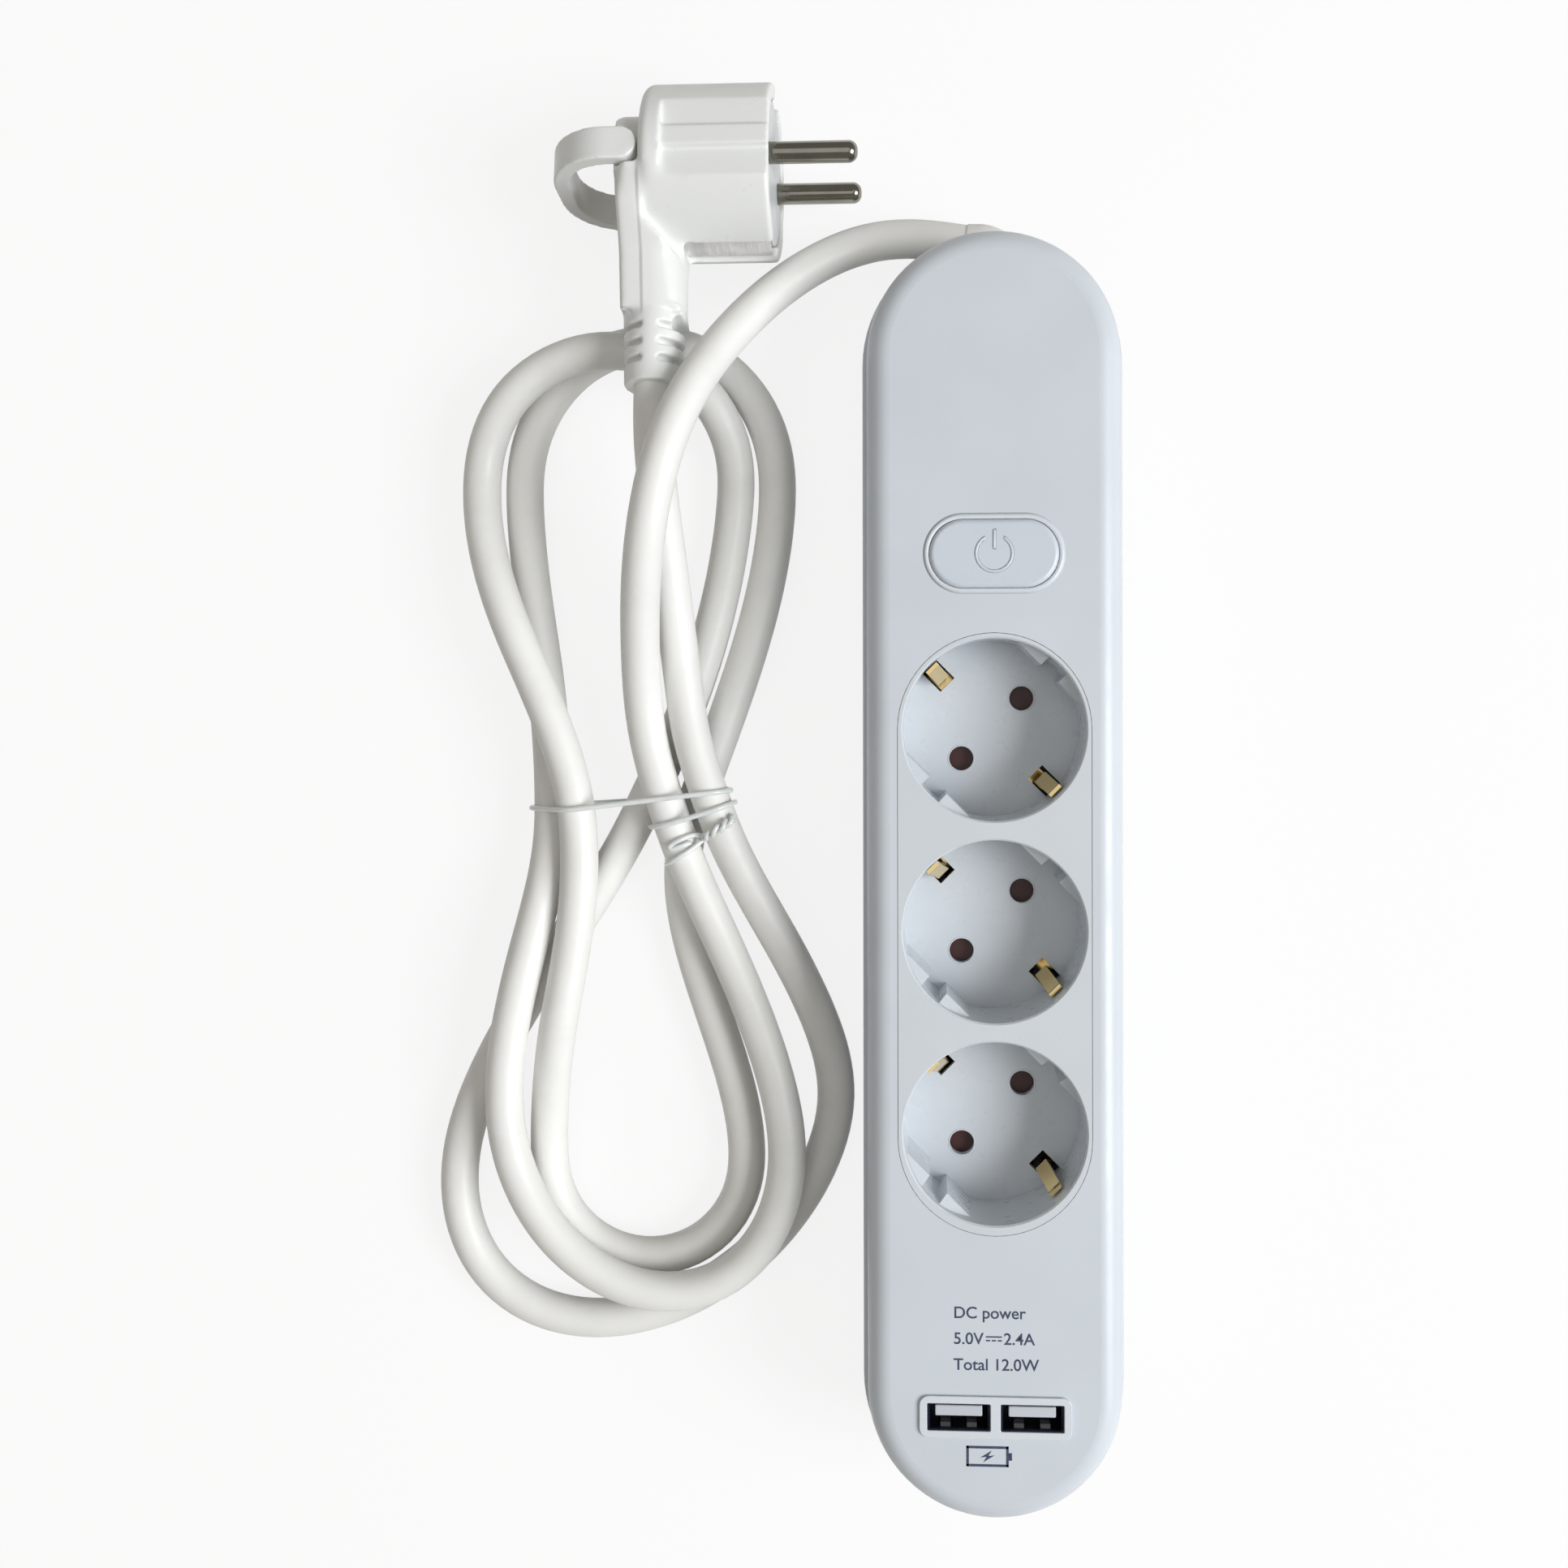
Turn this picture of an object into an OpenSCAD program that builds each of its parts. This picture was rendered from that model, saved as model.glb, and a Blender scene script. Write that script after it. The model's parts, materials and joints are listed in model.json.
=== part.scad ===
// Three-way earthed extension cord with a push switch and two charging ports.
// Millimetres, +Z up. The strip lies along Y, and the origin is the middle of its underside.
// The cord leaves the +Y end, is folded into a tied hank on the -X side, and ends in an angled plug.

/* [Housing] */
// Length of the strip over its round ends
strip_len = 279; // [275:1:300]
// Width of the strip, which is also the width of its round ends
strip_w = 57; // [56:0.5:62]
// Height of the strip's top face above the surface it lies on
strip_h = 40; // [39:0.5:44]
// Thickness of the side walls and of the bottom
wall = 2.2; // [1.8:0.1:2.4]
// Thickness of the top face
roof_t = 2.4; // [2:0.1:2.8]
// Height of the joint line between the two covers
split_h = 29; // [28:0.5:30]
// How far the top cover's side stands in from the bottom cover's side
ledge = 1.2; // [0.8:0.1:1.4]
// Radius of the top cover's shoulder
top_round = 5; // [3:0.5:6]
// Radius along the bottom cover's lower edge
base_round = 3; // [1:0.5:4]
// Radius along the bottom cover's upper edge
rim_round = 0.8; // [0.4:0.1:1]
// Height of the lip that locates the top cover inside the bottom cover
lip_h = 3; // [2:0.5:3]
// Clearance between moulded parts that fit into each other
fit_gap = 0.25; // [0.15:0.05:0.3]

/* [Sockets] */
// Place along Y of the socket next to the switch
first_cup_y = 31; // [30:0.5:32]
// Distance between neighbouring sockets
cup_pitch = 43; // [42:0.5:44]
// Diameter of a socket's well
cup_d = 39; // [38.6:0.1:39.6]
// Depth of a socket's well
cup_depth = 17.5; // [17:0.5:18]
// Thickness of the well's floor
floor_t = 2; // [1.6:0.1:2.2]
// Wall left between a well and the side of the socket panel
panel_wall = 1.05; // [0.8:0.05:1.4]
// Width of the chamfer round a well's mouth
mouth_chamfer = 0.35; // [0.2:0.05:0.5]
// Distance between the two pins of a plug
pin_spacing = 19; // [18.6:0.2:19.4]
// Diameter of a plug's pin
pin_d = 4.8; // [4.6:0.1:5]
// Diameter of the pin holes in a well's floor
pin_hole_d = 5.4; // [5.2:0.1:5.8]
// Distance from a well's middle to the face of its guide ribs
key_face = 17; // [16.8:0.1:17.6]
// Width of the notch in each guide rib
key_notch = 5.3; // [5:0.1:6]
// Thickness of the socket panel's flange under the top cover
flange_t = 1.4; // [1:0.1:1.8]

/* [Shutters] */
// Diameter of a shutter disc
shutter_d = 25.6; // [25:0.2:26.4]
// Thickness of a shutter disc
shutter_t = 1.6; // [1.2:0.1:1.8]
// Angle that a shutter turns to clear the pin holes
shutter_turn = 35; // [34:1:36]
// Diameter of the stud that a shutter turns on
stud_d = 4; // [3.6:0.1:4.4]
// Radial running clearance of the turning and sliding parts
run_gap = 0.06; // [0.04:0.01:0.09]

/* [Contacts] */
// Width of the live and neutral bars
bar_w = 7; // [6.6:0.1:7.4]
// Thickness of the live and neutral bars
bar_t = 1; // [0.8:0.1:1.2]
// Height of the underside of the live and neutral bars
bar_z = 5; // [4.6:0.1:5.2]
// Wall of a spring contact
contact_wall = 0.8; // [0.6:0.1:0.9]
// Width of the earth bar and of its spring clips
earth_w = 3.2; // [2.8:0.1:3.4]
// Thickness of the earth bar and of its spring clips
earth_t = 0.8; // [0.7:0.1:0.9]

/* [Switch] */
// Place of the switch along Y
switch_y = 68.5; // [67.5:0.5:69.5]
// Width of the button across the strip
button_w = 27.7; // [26:0.1:28]
// Width of the button along the strip
button_l = 14.7; // [14:0.1:15.2]
// How far the button stands above the top face
button_proud = 0.4; // [0.2:0.1:0.8]
// Travel of the button
travel = 2.5; // [1.5:0.1:2.5]
// Width of the bevel round the button
bevel_w = 1; // [0.6:0.1:1.2]
// Height of the button's flange
button_flange_t = 1.5; // [1.2:0.1:1.8]
// Height of the switch body
switch_body_h = 15.5; // [14.5:0.5:16]

/* [Charging ports] */
// Distance from the strip's end to the middle of the ports
port_inset = 24.5; // [23.5:0.5:25.5]
// Distance between the two ports
port_spacing = 15.6; // [15:0.1:16]
// Outside width of a port's metal shell
port_w = 13.1; // [12.9:0.1:13.4]
// Outside height of a port's metal shell
port_l = 5.7; // [5.5:0.1:6]
// Thickness of a port's metal shell
port_wall = 0.35; // [0.3:0.05:0.4]
// Depth of a port
port_depth = 15.3; // [14:0.1:15.6]
// Height of the raised frame round the ports
port_frame_h = 0.4; // [0.2:0.1:0.6]
// Thickness of the circuit board
board_t = 1.6; // [1.2:0.1:1.8]

/* [Screws] */
// Shank diameter of a case screw
screw_d = 2.9; // [2.7:0.1:3]
// Length of a case screw below its head
screw_len = 18; // [14:1:20]
// Head diameter of a case screw
screw_head_d = 5.6; // [5:0.1:5.8]
// Head height of a case screw
screw_head_h = 2.4; // [2:0.1:2.6]
// Height of the posts in the bottom cover that the screws go through
post_h = 12; // [11:0.5:13]
// Shank diameter of the small screws in the board
small_screw_d = 2.4; // [2.2:0.1:2.5]

/* [Cord] */
// Diameter of the cord
cord_d = 8.8; // [8.4:0.1:9]
// Place across the strip where the cord leaves it
exit_x = 4; // [2:0.5:5]
// Height of the cord's middle where it leaves the strip
exit_z = 13.5; // [13:0.5:14]
// Radius of the bend in the elbow sleeve
elbow_r = 8; // [7:0.5:9]
// Angle that the elbow sleeve turns the cord through
elbow_turn = 80; // [76:1:84]
// Diameter of the elbow sleeve
sleeve_d = 11; // [10.8:0.1:12.4]
// Length of the sleeve's tapered mouth
mouth_len = 3; // [2:0.5:6]
// Clear space between the cord's strands where they cross
hank_gap = 0.6; // [0.5:0.1:1]
// Width of the cord tie
tie_w = 1.4; // [1:0.1:2]
// Thickness of the cord tie
tie_t = 0.8; // [0.6:0.1:1]
// Diameter of the insulated wires inside the strip
wire_d = 2.9; // [2.6:0.1:3]

/* [Plug] */
// Diameter of the plug's head
plug_d = 38.8; // [38.4:0.1:38.8]
// Length of the plug's head
plug_len = 28.6; // [27:0.2:31]
// Length of the pins in front of the plug's face
pin_len = 19; // [18:0.5:19.5]
// Tilt of the plug, whose neck rests on the hank
plug_tilt = 9; // [8:0.5:10]
// Distance from the plug's axis to the flats beside its guide ridges
plug_flat = 17.2; // [17:0.1:17.6]
// Width of the plug's guide ridges
ridge_w = 4.8; // [4.4:0.1:5]
// Reach of the pull ring behind its hinge
ring_reach = 17; // [16:0.5:22]
// Width of the pull ring's strap
ring_w = 7.5; // [6.5:0.5:7.5]
// Thickness of the pull ring's strap
ring_t = 3.4; // [3:0.1:3.6]
// Diameter of the studs that the pull ring turns on
ring_stud_d = 3.2; // [3:0.1:3.6]
// Distance from the plug's axis to the strain relief's end
relief_reach = 50.6; // [50:0.2:54]
// Length of the strain relief
relief_len = 15.6; // [15:0.2:17]

/* [Hidden] */
$fn = 48;
eps = 0.01;
shell_white = "whitesmoke";
cord_white = "ivory";
brass = "goldenrod";

// Heights
roof_z = strip_h - roof_t;
well_z = strip_h - cup_depth;
under_z = well_z - floor_t;

// Housing
cup_y = [for (i = [0:2]) first_cup_y - i * cup_pitch];
inner_w = strip_w - 2 * wall;
inner_len = strip_len - 2 * wall;
top_w = strip_w - 2 * ledge;
top_len = strip_len - 2 * ledge;
end_y = (strip_len - strip_w) / 2;
port_y = port_inset - strip_len / 2;
post_d = screw_head_d + 2.8;
boss_d = screw_d + 3.9;
seat_z = post_h - 4;
post_places = [for (s = [-1, 1]) each [[19.5 * s, end_y + 8], [20 * s, switch_y - 11],
    [20 * s, cup_y[2] - 27], [12 * s, port_y - 15]]];

// Sockets
panel_r = cup_d / 2 + panel_wall;
panel_tail = 1;
panel_gap = 0.12;
panel_top = cup_y[0] + panel_r;
panel_low = cup_y[2] - panel_r - panel_tail;
slot_in = 13.8;
slot_w = earth_w + 1.2;

// Shutters
shutter_z = under_z - 0.5 - shutter_t;
stud_head_d = stud_d + 1.8;
stud_head_t = 0.8;

// Contacts
pin_x = pin_spacing / 2 * cos(45);
bar_top = cup_y[0] + 18;
bar_low = cup_y[2] - 22;
contact_d = pin_d + 0.1 + 2 * contact_wall;
contact_top = shutter_z - stud_head_t - 0.3;
earth_z = wall + 0.3;
clip_r = cup_d / 2 - 0.5;
clip_in = clip_r - 3.9;
rib_t = 2;

// Power symbol, as the middle radius of its ring, its line's width and its bar's length
symbol_r = 3.85;
symbol_line = 0.8;
symbol_bar = 4.4;
symbol_gap = 4;

// Switch
open_w = button_w + 0.6;
open_l = button_l + 0.6;
guide_z = roof_z - 4.1;
button_z = guide_z - 0.3 - button_flange_t;
switch_body_z = button_z - travel - 1.7 - switch_body_h;
switch_body = [18, 12];
tab = [0.8, 6, 6.3];
tab_x = 5;
tab_z = switch_body_z + 6.5;

// Charging ports
board = [36, 25];
board_y = port_y + 1.5;
board_z = strip_h - 0.1 - port_depth - board_t;
board_posts = [[-15, port_y + 10.5], [6, port_y + 12], [3, port_y - 8]];
board_edge = board_y + board[1] / 2;
port_x = port_spacing / 2;
port_frame = [port_spacing + port_w + 3.2, port_l + 2.8];
tongue_t = 1.9;
tongue_w = 9.4;

// Cord at the strip
pocket_y = strip_len / 2 - 7.5;
pocket_x = [-15, 13];
pocket_z = [exit_z - 9, exit_z + 9];
collar_t = 1.5;
neck_d = sleeve_d - 0.4;
collar_d = sleeve_d + 2;
elbow_y = pocket_y + 0.1 + collar_t;
mouth_dir = [-sin(elbow_turn), cos(elbow_turn), 0];
mouth = [exit_x - elbow_r, elbow_y, exit_z] + elbow_r * [cos(elbow_turn), sin(elbow_turn), 0]
    + mouth_len * mouth_dir;
boot_in_y = pocket_y - wall - 0.2 - 2;
tail_end_y = boot_in_y - 24;
clamp_y = boot_in_y - 10;
clamp_size = [21, 7, 6];
clamp_screw_x = 7.6;

// Wires: where they run beside the switch, above the bars and up to the charging board
wire_rest = 0.25;
wire_start = 0.45;
bar_wire_z = bar_z + bar_t + wire_d / 2 + wire_rest;
earth_wire_z = earth_z + earth_t + wire_d / 2 + wire_rest;
earth_wire_x = 13.8;
earth_wire_high = 8;
earth_wire_low = 6.5;
board_wire_x = 10.2;
board_wire_z = [12, 18];

// Plug, in its own frame: +X along the pins, -Y along the cord, origin in the front face
plug_at = [-48.4, 157, plug_d / 2 + 0.1];
pin_start = -0.5;
pin_root = -18;
front_t = 19.3;
front_x = -19.9;
hub_corner = 7.5;
ring_corner = 14;
neck_x = 1.8 - plug_len;
hub_x = -plug_len - ring_w / 2 - 0.4;
hub_y = -1;
ring_half = plug_d / 2 - 1.8;
hub_half = ring_half - ring_t - 0.4;
neck_w = 14.2;
relief_d = [14.2, 13];
front_r = plug_d / 2 - 3.5;
strip_in = plug_d / 2 - 2.7;

// Hank. Each strand crosses the waist at [x, layer, lean], where lean is its x over y there.
waist_y = 10;
low_z = cord_d / 2;
layer = cord_d + hank_gap;
tie_gap = 0.6;
waist_lift = tie_t + tie_gap;
strands = [[-73.5, 1, -0.32], [-102.4, 0.34, 0], [-70.3, 0, 0.35], [-95.1, 1.05, -0.1],
    [-82.7, 0, 0.5], [-62.6, 1, -0.35]];
// Each bow: x where its end begins on the way in and out, y of that place and of its far end, its
// height in layers at the flank, shoulder, quarter, end, quarter, shoulder and flank, and how far
// its end lies off the middle.
bows = [
    [-47, -112.8, -62, -100, [0.85, 0.95, 1, 1, 1, 0.95, 1], 5],
    [-110.5, -49.6, 89, 122.6, [0, 0, 0, 0, 0, 0, 0], 0],
    [-57, -104.8, -71.6, -95.2, [0, 0, 0, 0, 0, 0, 1], 0],
    [-119.2, -59.4, 89.5, 119, [1.2, 0.6, 1, 1, 0.65, 0, 0], 1.5],
    [-124.8, -37, -64.5, -110, [0, 0, 0, 0, 0, 0, 0.6], -13]];
rings_per_bow = 24;
hank_sides = 6;
lead_sides = 10;
stub_len = 9.2;

// Free stretches of the cord, from the strip to the hank and from the hank to the plug
lead_points = [[-16, 143.6, 13.6], [-27, 142.8, 14.4], [-38, 138.2, 16.6], [-48, 130.6, 20.6],
    [-56.8, 120.6, 26.4], [-63.6, 109.8, 32.8], [-68.6, 98.8, 37.8], [-72.2, 87.4, 39.4], [-75.2, 75, 36.8],
    [-77.6, 62, 30.6], [-79, 49, 23.6], [-79.4, 36.4, 18], [-78.4, 27, 15.6]];
plug_lead_points = [[-69, 30, 15.2], [-70.6, 42, 15.2], [-71.9, 54, 17], [-72.8, 66, 21],
    [-73.7, 77, 25.2], [-74.6, 88, 27.8], [-75.2, 97, 28.4]];

// ---- shapes ------------------------------------------------------------------------------

module pill_2d(x, y) {
    d = min(x, y);
    square([x > y ? x - d : x, y > x ? y - d : y], center = true);
    for (s = [-1, 1])
        translate([s * (x - d) / 2, s * (y - d) / 2])
            circle(d = d);
}

module pill(x, y, low, high) {
    translate([0, 0, low])
        linear_extrude(high - low)
            pill_2d(x, y);
}

// Half of a section, from the axis out to r, rounded below and above
module side_profile(r, h, low, high) {
    translate([0, low]) square([r, h - low - high]);
    square([r - low, h / 2]);
    translate([0, h / 2]) square([r - high, h / 2]);
    translate([r - low, low]) circle(low);
    translate([r - high, h - high]) circle(high);
}

// Carries a half section round a pill whose two end centres lie reach from the middle along Y
module pill_sweep(reach) {
    for (s = [0, 1])
        mirror([0, s, 0])
            translate([0, reach, 0])
                rotate_extrude(angle = 180)
                    children();
    rotate([90, 0, 0])
        linear_extrude(2 * reach, center = true) {
            children();
            mirror([1, 0]) children();
        }
}

module rod(d, low, high) {
    translate([0, 0, low]) cylinder(d = d, h = high - low);
}

module block(size, low, high) {
    translate([0, 0, low])
        linear_extrude(high - low)
            square(size, center = true);
}

module rounded_rect(size, r) {
    square([size[0] - 2 * r, size[1]], center = true);
    square([size[0], size[1] - 2 * r], center = true);
    for (x = [-1, 1], y = [-1, 1])
        translate([x * (size[0] / 2 - r), y * (size[1] / 2 - r)])
            circle(r);
}

module at_sockets() {
    for (y = cup_y) translate([0, y, 0]) children();
}

module at_posts() {
    for (p = post_places) translate(p) children();
}

module screw(d, length, head_d, head_h) {
    difference() {
        union() {
            rod(d, -1, length);
            rod(head_d, -head_h, 0);
        }
        for (a = [0, 90])
            rotate(a) translate([0, 0, -head_h]) cube([head_d * 0.55, 0.7, 1.6], center = true);
    }
}

// ---- swept tubes -------------------------------------------------------------------------

function unit(v) = v / norm(v);
function mix(a, b, t) = a + (b - a) * t;
function smooth(t) = t * t * (3 - 2 * t);
function hermite(p, m, q, n, t) = p * (1 + 2 * t) * (1 - t) * (1 - t) + m * t * (1 - t) * (1 - t)
    + q * t * t * (3 - 2 * t) + n * t * t * (t - 1);

// One point of the curve through four neighbouring points, between the middle two
function curve_at(a, b, c, d, t) = hermite(b, (c - a) / 2, c, (d - b) / 2, t);
function curve(p, n) = [for (i = [0:len(p) - 2], k = [0:n - 1])
    curve_at(p[max(i - 1, 0)], p[i], p[i + 1], p[min(i + 2, len(p) - 1)], k / n), p[len(p) - 1]];

function ring(p, dir, d, sides, ref) =
    let (side = unit(cross(dir, ref)), up = cross(side, dir))
    [for (k = [0:sides - 1]) p + d / 2 * (cos(360 * k / sides) * up + sin(360 * k / sides) * side)];

// A closed tube along a path whose two ends point along first and last
module tube(path, d, sides, first, last, ref = [0, 0, 1]) {
    n = len(path);
    points = [for (i = [0:n - 1]) each ring(path[i],
        i == 0 ? unit(first) : i == n - 1 ? unit(last) : unit(path[i + 1] - path[i - 1]),
        d, sides, ref)];
    sides_faces = [for (i = [0:n - 2], k = [0:sides - 1])
        let (a = i * sides + k, b = i * sides + (k + 1) % sides)
        each [[a, a + sides, b], [b, a + sides, b + sides]]];
    start_face = [for (k = [1:sides - 2]) [0, k, k + 1]];
    end_face = [for (k = [1:sides - 2]) (n - 1) * sides * [1, 1, 1] + [0, k + 1, k]];
    polyhedron(points, concat(sides_faces, start_face, end_face));
}

// ---- the cord's course -------------------------------------------------------------------

function waist_z(s) = low_z + waist_lift + s[1] * layer;
function bow_xy(i, u) =
    let (b = bows[i], s = strands[i], e = strands[i + 1], run = b[2] - waist_y,
        t = u < 0.25 ? 4 * u : 4 * (1 - u), a = 360 * (u - 0.25),
        slant = b[5] / (b[3] - b[2]) * run)
    u < 0.25 ? [hermite(s[0], s[2] * run, b[0], slant, t), waist_y + run * t]
    : u > 0.75 ? [hermite(e[0], e[2] * run, b[1], slant, t), waist_y + run * t]
    : [(b[0] + b[1]) / 2 + (b[0] - b[1]) / 2 * cos(a) + b[5] * sin(a),
        b[2] + (b[3] - b[2]) * sin(a)];
function bow_z(i, u) =
    let (knots = [waist_z(strands[i]), for (h = bows[i][4]) low_z + h * layer,
            waist_z(strands[i + 1])],
        k = min(floor(u * 8), 7))
    mix(knots[k], knots[k + 1], smooth(u * 8 - k));
function bow_point(i, u) = let (p = bow_xy(i, u)) [p[0], p[1], bow_z(i, u)];

function strand_dir(s) = unit([s[2], 1, 0]);
function strand_at(s, up) = [s[0], waist_y, waist_z(s)] + up * strand_dir(s);
hank_in = strand_at(strands[0], stub_len);
hank_out = strand_at(strands[5], stub_len);
function hank_path(n) = [hank_in, for (i = [0:4], k = [0:n - 1]) bow_point(i, k / n),
    strand_at(strands[5], 0), hank_out];

relief_end = plug_at + [neck_x, -relief_reach * cos(plug_tilt), relief_reach * sin(plug_tilt)];
relief_dir = [0, -cos(plug_tilt), sin(plug_tilt)];
lead_path = [mouth, each lead_points, hank_in];
plug_lead_path = [hank_out, each plug_lead_points, relief_end];

function path_len(p) = [for (i = 1, s = 0; i <= len(p); s = s + norm(p[min(i, len(p) - 1)]
    - p[i - 1]), i = i + 1) s];
function total(p) = let (s = path_len(p)) s[len(s) - 1];

// Least clear space between two stretches that lie more than three diameters apart on the path
module report_hank() {
    p = hank_path(60);
    s = path_len(p);
    gaps = [for (i = [0:len(p) - 2]) min([1000, for (j = [i + 1:len(p) - 1])
        if (s[j] - s[i] > 3 * cord_d) norm(p[i] - p[j]) - cord_d])];
    echo(hank_least_gap = min(gaps));
    echo(cord_length = total(curve(lead_path, 8)) + total(p) + total(curve(plug_lead_path, 8)));
}

// ---- housing -----------------------------------------------------------------------------

module bottom_shell() {
    difference() {
        pill_sweep(end_y) side_profile(strip_w / 2, split_h, base_round, rim_round);
        pill(inner_w, inner_len, wall, split_h + 1);
    }
}

module end_pocket(grow) {
    translate([pocket_x[0] - grow, pocket_y - grow, pocket_z[0] - grow])
        cube([pocket_x[1] - pocket_x[0] + 2 * grow, 30, pocket_z[1] - pocket_z[0] + 2 * grow]);
}

module bottom_fittings() {
    at_posts() rod(post_d, wall - eps, post_h);
    for (y = cup_y, dy = [-17, 17], x = [-1, 1])
        translate([x * pin_x, y + dy, 0]) block([bar_w + 1, rib_t], wall - eps, bar_z);
    translate([0, switch_y, 0])
        difference() {
            block(switch_body + [4, 4], wall - eps, switch_body_z + 5);
            block(switch_body + [0.3, 0.3], switch_body_z, switch_body_z + 6);
        }
    translate([exit_x, clamp_y, 0])
        block([clamp_size[0], clamp_size[1] + 2], wall - eps, exit_z - 0.5);
    for (p = board_posts) translate(p) rod(5, wall - eps, board_z);
}

module bottom_cover() {
    color(shell_white)
        difference() {
            union() {
                bottom_shell();
                bottom_fittings();
                intersection() {
                    end_pocket(wall);
                    pill(strip_w - 2, strip_len - 2, wall, split_h - 2);
                }
            }
            end_pocket(0);
            along_y(pocket_y - wall - 1, exit_z) cylinder(d = neck_d + 0.2, h = wall + 2);
            at_posts() {
                rod(screw_head_d + 0.6, -1, seat_z);
                rod(screw_d + 0.5, 0, post_h + 1);
            }
            along_y(clamp_y - 10, exit_z) cylinder(d = cord_d + 0.1, h = 20);
            at_clamp_screws() rod(screw_d + 0.1, exit_z - 9, exit_z);
            for (p = board_posts) translate(p) rod(small_screw_d + 0.1, board_z - 8, board_z + 1);
        }
}

module top_shell() {
    difference() {
        translate([0, 0, split_h])
            pill_sweep(end_y) side_profile(top_w / 2, strip_h - split_h, 0.4, top_round);
        pill(top_w - 2 * wall, top_len - 2 * wall, split_h - 1, roof_z);
    }
    difference() {
        pill(inner_w - 2 * fit_gap, inner_len - 2 * fit_gap, split_h - lip_h, split_h + 1);
        pill(top_w - 2 * wall, top_len - 2 * wall, split_h - lip_h - 1, split_h + 2);
    }
}

module bevel_profile() {
    polygon([[0, strip_h - bevel_w], [open_l / 2, strip_h - bevel_w],
        [open_l / 2 + bevel_w, strip_h + eps], [0, strip_h + eps]]);
}

module top_cover() {
    color(shell_white)
        difference() {
            union() {
                top_shell();
                at_posts() rod(boss_d, post_h + 0.2, roof_z + eps);
                translate([0, switch_y, 0]) pill(open_w + 3, open_l + 3, guide_z, roof_z + eps);
                translate([0, port_y, strip_h - eps])
                    linear_extrude(port_frame_h + eps) rounded_rect(port_frame, 1.6);
            }
            translate([0, (panel_top + panel_low) / 2, 0])
                pill(2 * (panel_r + panel_gap), panel_top - panel_low + 2 * panel_gap, roof_z - 1,
                    strip_h + 1);
            translate([0, switch_y, 0]) {
                pill(open_w, open_l, guide_z - 1, strip_h + 1);
                rotate(90) pill_sweep((open_w - open_l) / 2) bevel_profile();
            }
            for (x = [-1, 1])
                translate([x * port_x, port_y, 0])
                    block([port_w + 0.3, port_l + 0.3], roof_z - 1, strip_h + 1);
            at_posts() rod(screw_d + 0.1, post_h, seat_z + screw_len + 1);
        }
}

module case_screws() {
    color("silver")
        at_posts() translate([0, 0, seat_z]) screw(screw_d, screw_len, screw_head_d, screw_head_h);
}

// ---- sockets -----------------------------------------------------------------------------

module panel_pill(grow, low, high) {
    translate([0, (panel_top + panel_low) / 2, 0])
        pill(2 * (panel_r + grow), panel_top - panel_low + 2 * grow, low, high);
}

module well() {
    rod(cup_d, well_z, strip_h + 1);
    translate([0, 0, strip_h - mouth_chamfer])
        cylinder(d1 = cup_d, d2 = cup_d + 2 * mouth_chamfer + 2 * eps, h = mouth_chamfer + eps);
    for (s = [-1, 1])
        rotate(45) translate([s * pin_spacing / 2, 0, 0]) rod(pin_hole_d, under_z - 1, well_z + 1);
    for (a = [135, -45])
        rotate(a)
            translate([(slot_in + cup_d / 2) / 2, 0, 0])
                block([cup_d / 2 - slot_in, slot_w], under_z - 1, well_z + 1);
}

module guide_ribs() {
    for (a = [45, 225])
        rotate(a)
            intersection() {
                rod(cup_d + 0.2, well_z - 0.1, strip_h);
                difference() {
                    rotate([90, 0, 0])
                        linear_extrude(cup_d, center = true)
                            polygon([[key_face, well_z - 0.1], [cup_d / 2 + 1, well_z - 0.1],
                                [cup_d / 2 + 1, strip_h - 1], [key_face, strip_h - 4]]);
                    translate([key_face, 0, 0]) block([8, key_notch], well_z, strip_h);
                }
            }
}

module shutter_stud() {
    rod(stud_d, shutter_z - 0.3 - eps, under_z + eps);
    rod(stud_head_d, shutter_z - 0.3 - stud_head_t, shutter_z - 0.3);
}

module socket_panel() {
    color("gainsboro") {
        difference() {
            union() {
                panel_pill(0, under_z, strip_h);
                panel_pill(1.8, roof_z - 0.1 - flange_t, roof_z - 0.1);
            }
            at_sockets() well();
        }
        at_sockets() {
            guide_ribs();
            shutter_stud();
        }
    }
}

module shutter(i) {
    color("maroon")
        translate([0, cup_y[i], 0])
            difference() {
                rod(shutter_d, shutter_z, shutter_z + shutter_t);
                rod(stud_d + 2 * run_gap, shutter_z - 1, shutter_z + shutter_t + 1);
                for (s = [-1, 1])
                    rotate(45 - shutter_turn)
                        translate([s * pin_spacing / 2, 0, 0])
                            rod(pin_hole_d + 0.5, shutter_z - 1, shutter_z + shutter_t + 1);
            }
}

// ---- contacts ----------------------------------------------------------------------------

module busbar(side) {
    color(brass)
        difference() {
            union() {
                translate([side * pin_x, (bar_top + bar_low) / 2, 0])
                    block([bar_w, bar_top - bar_low], bar_z, bar_z + bar_t);
                at_sockets() translate([side * pin_x, side * pin_x, 0])
                    rod(contact_d, bar_z + bar_t - eps, contact_top);
            }
            at_sockets() translate([side * pin_x, side * pin_x, 0]) {
                rod(pin_d + 0.1, bar_z - 1, contact_top + 1);
                rotate(45) block([0.8, contact_d + 1], bar_z + bar_t + 2, contact_top + 1);
            }
        }
}

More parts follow.
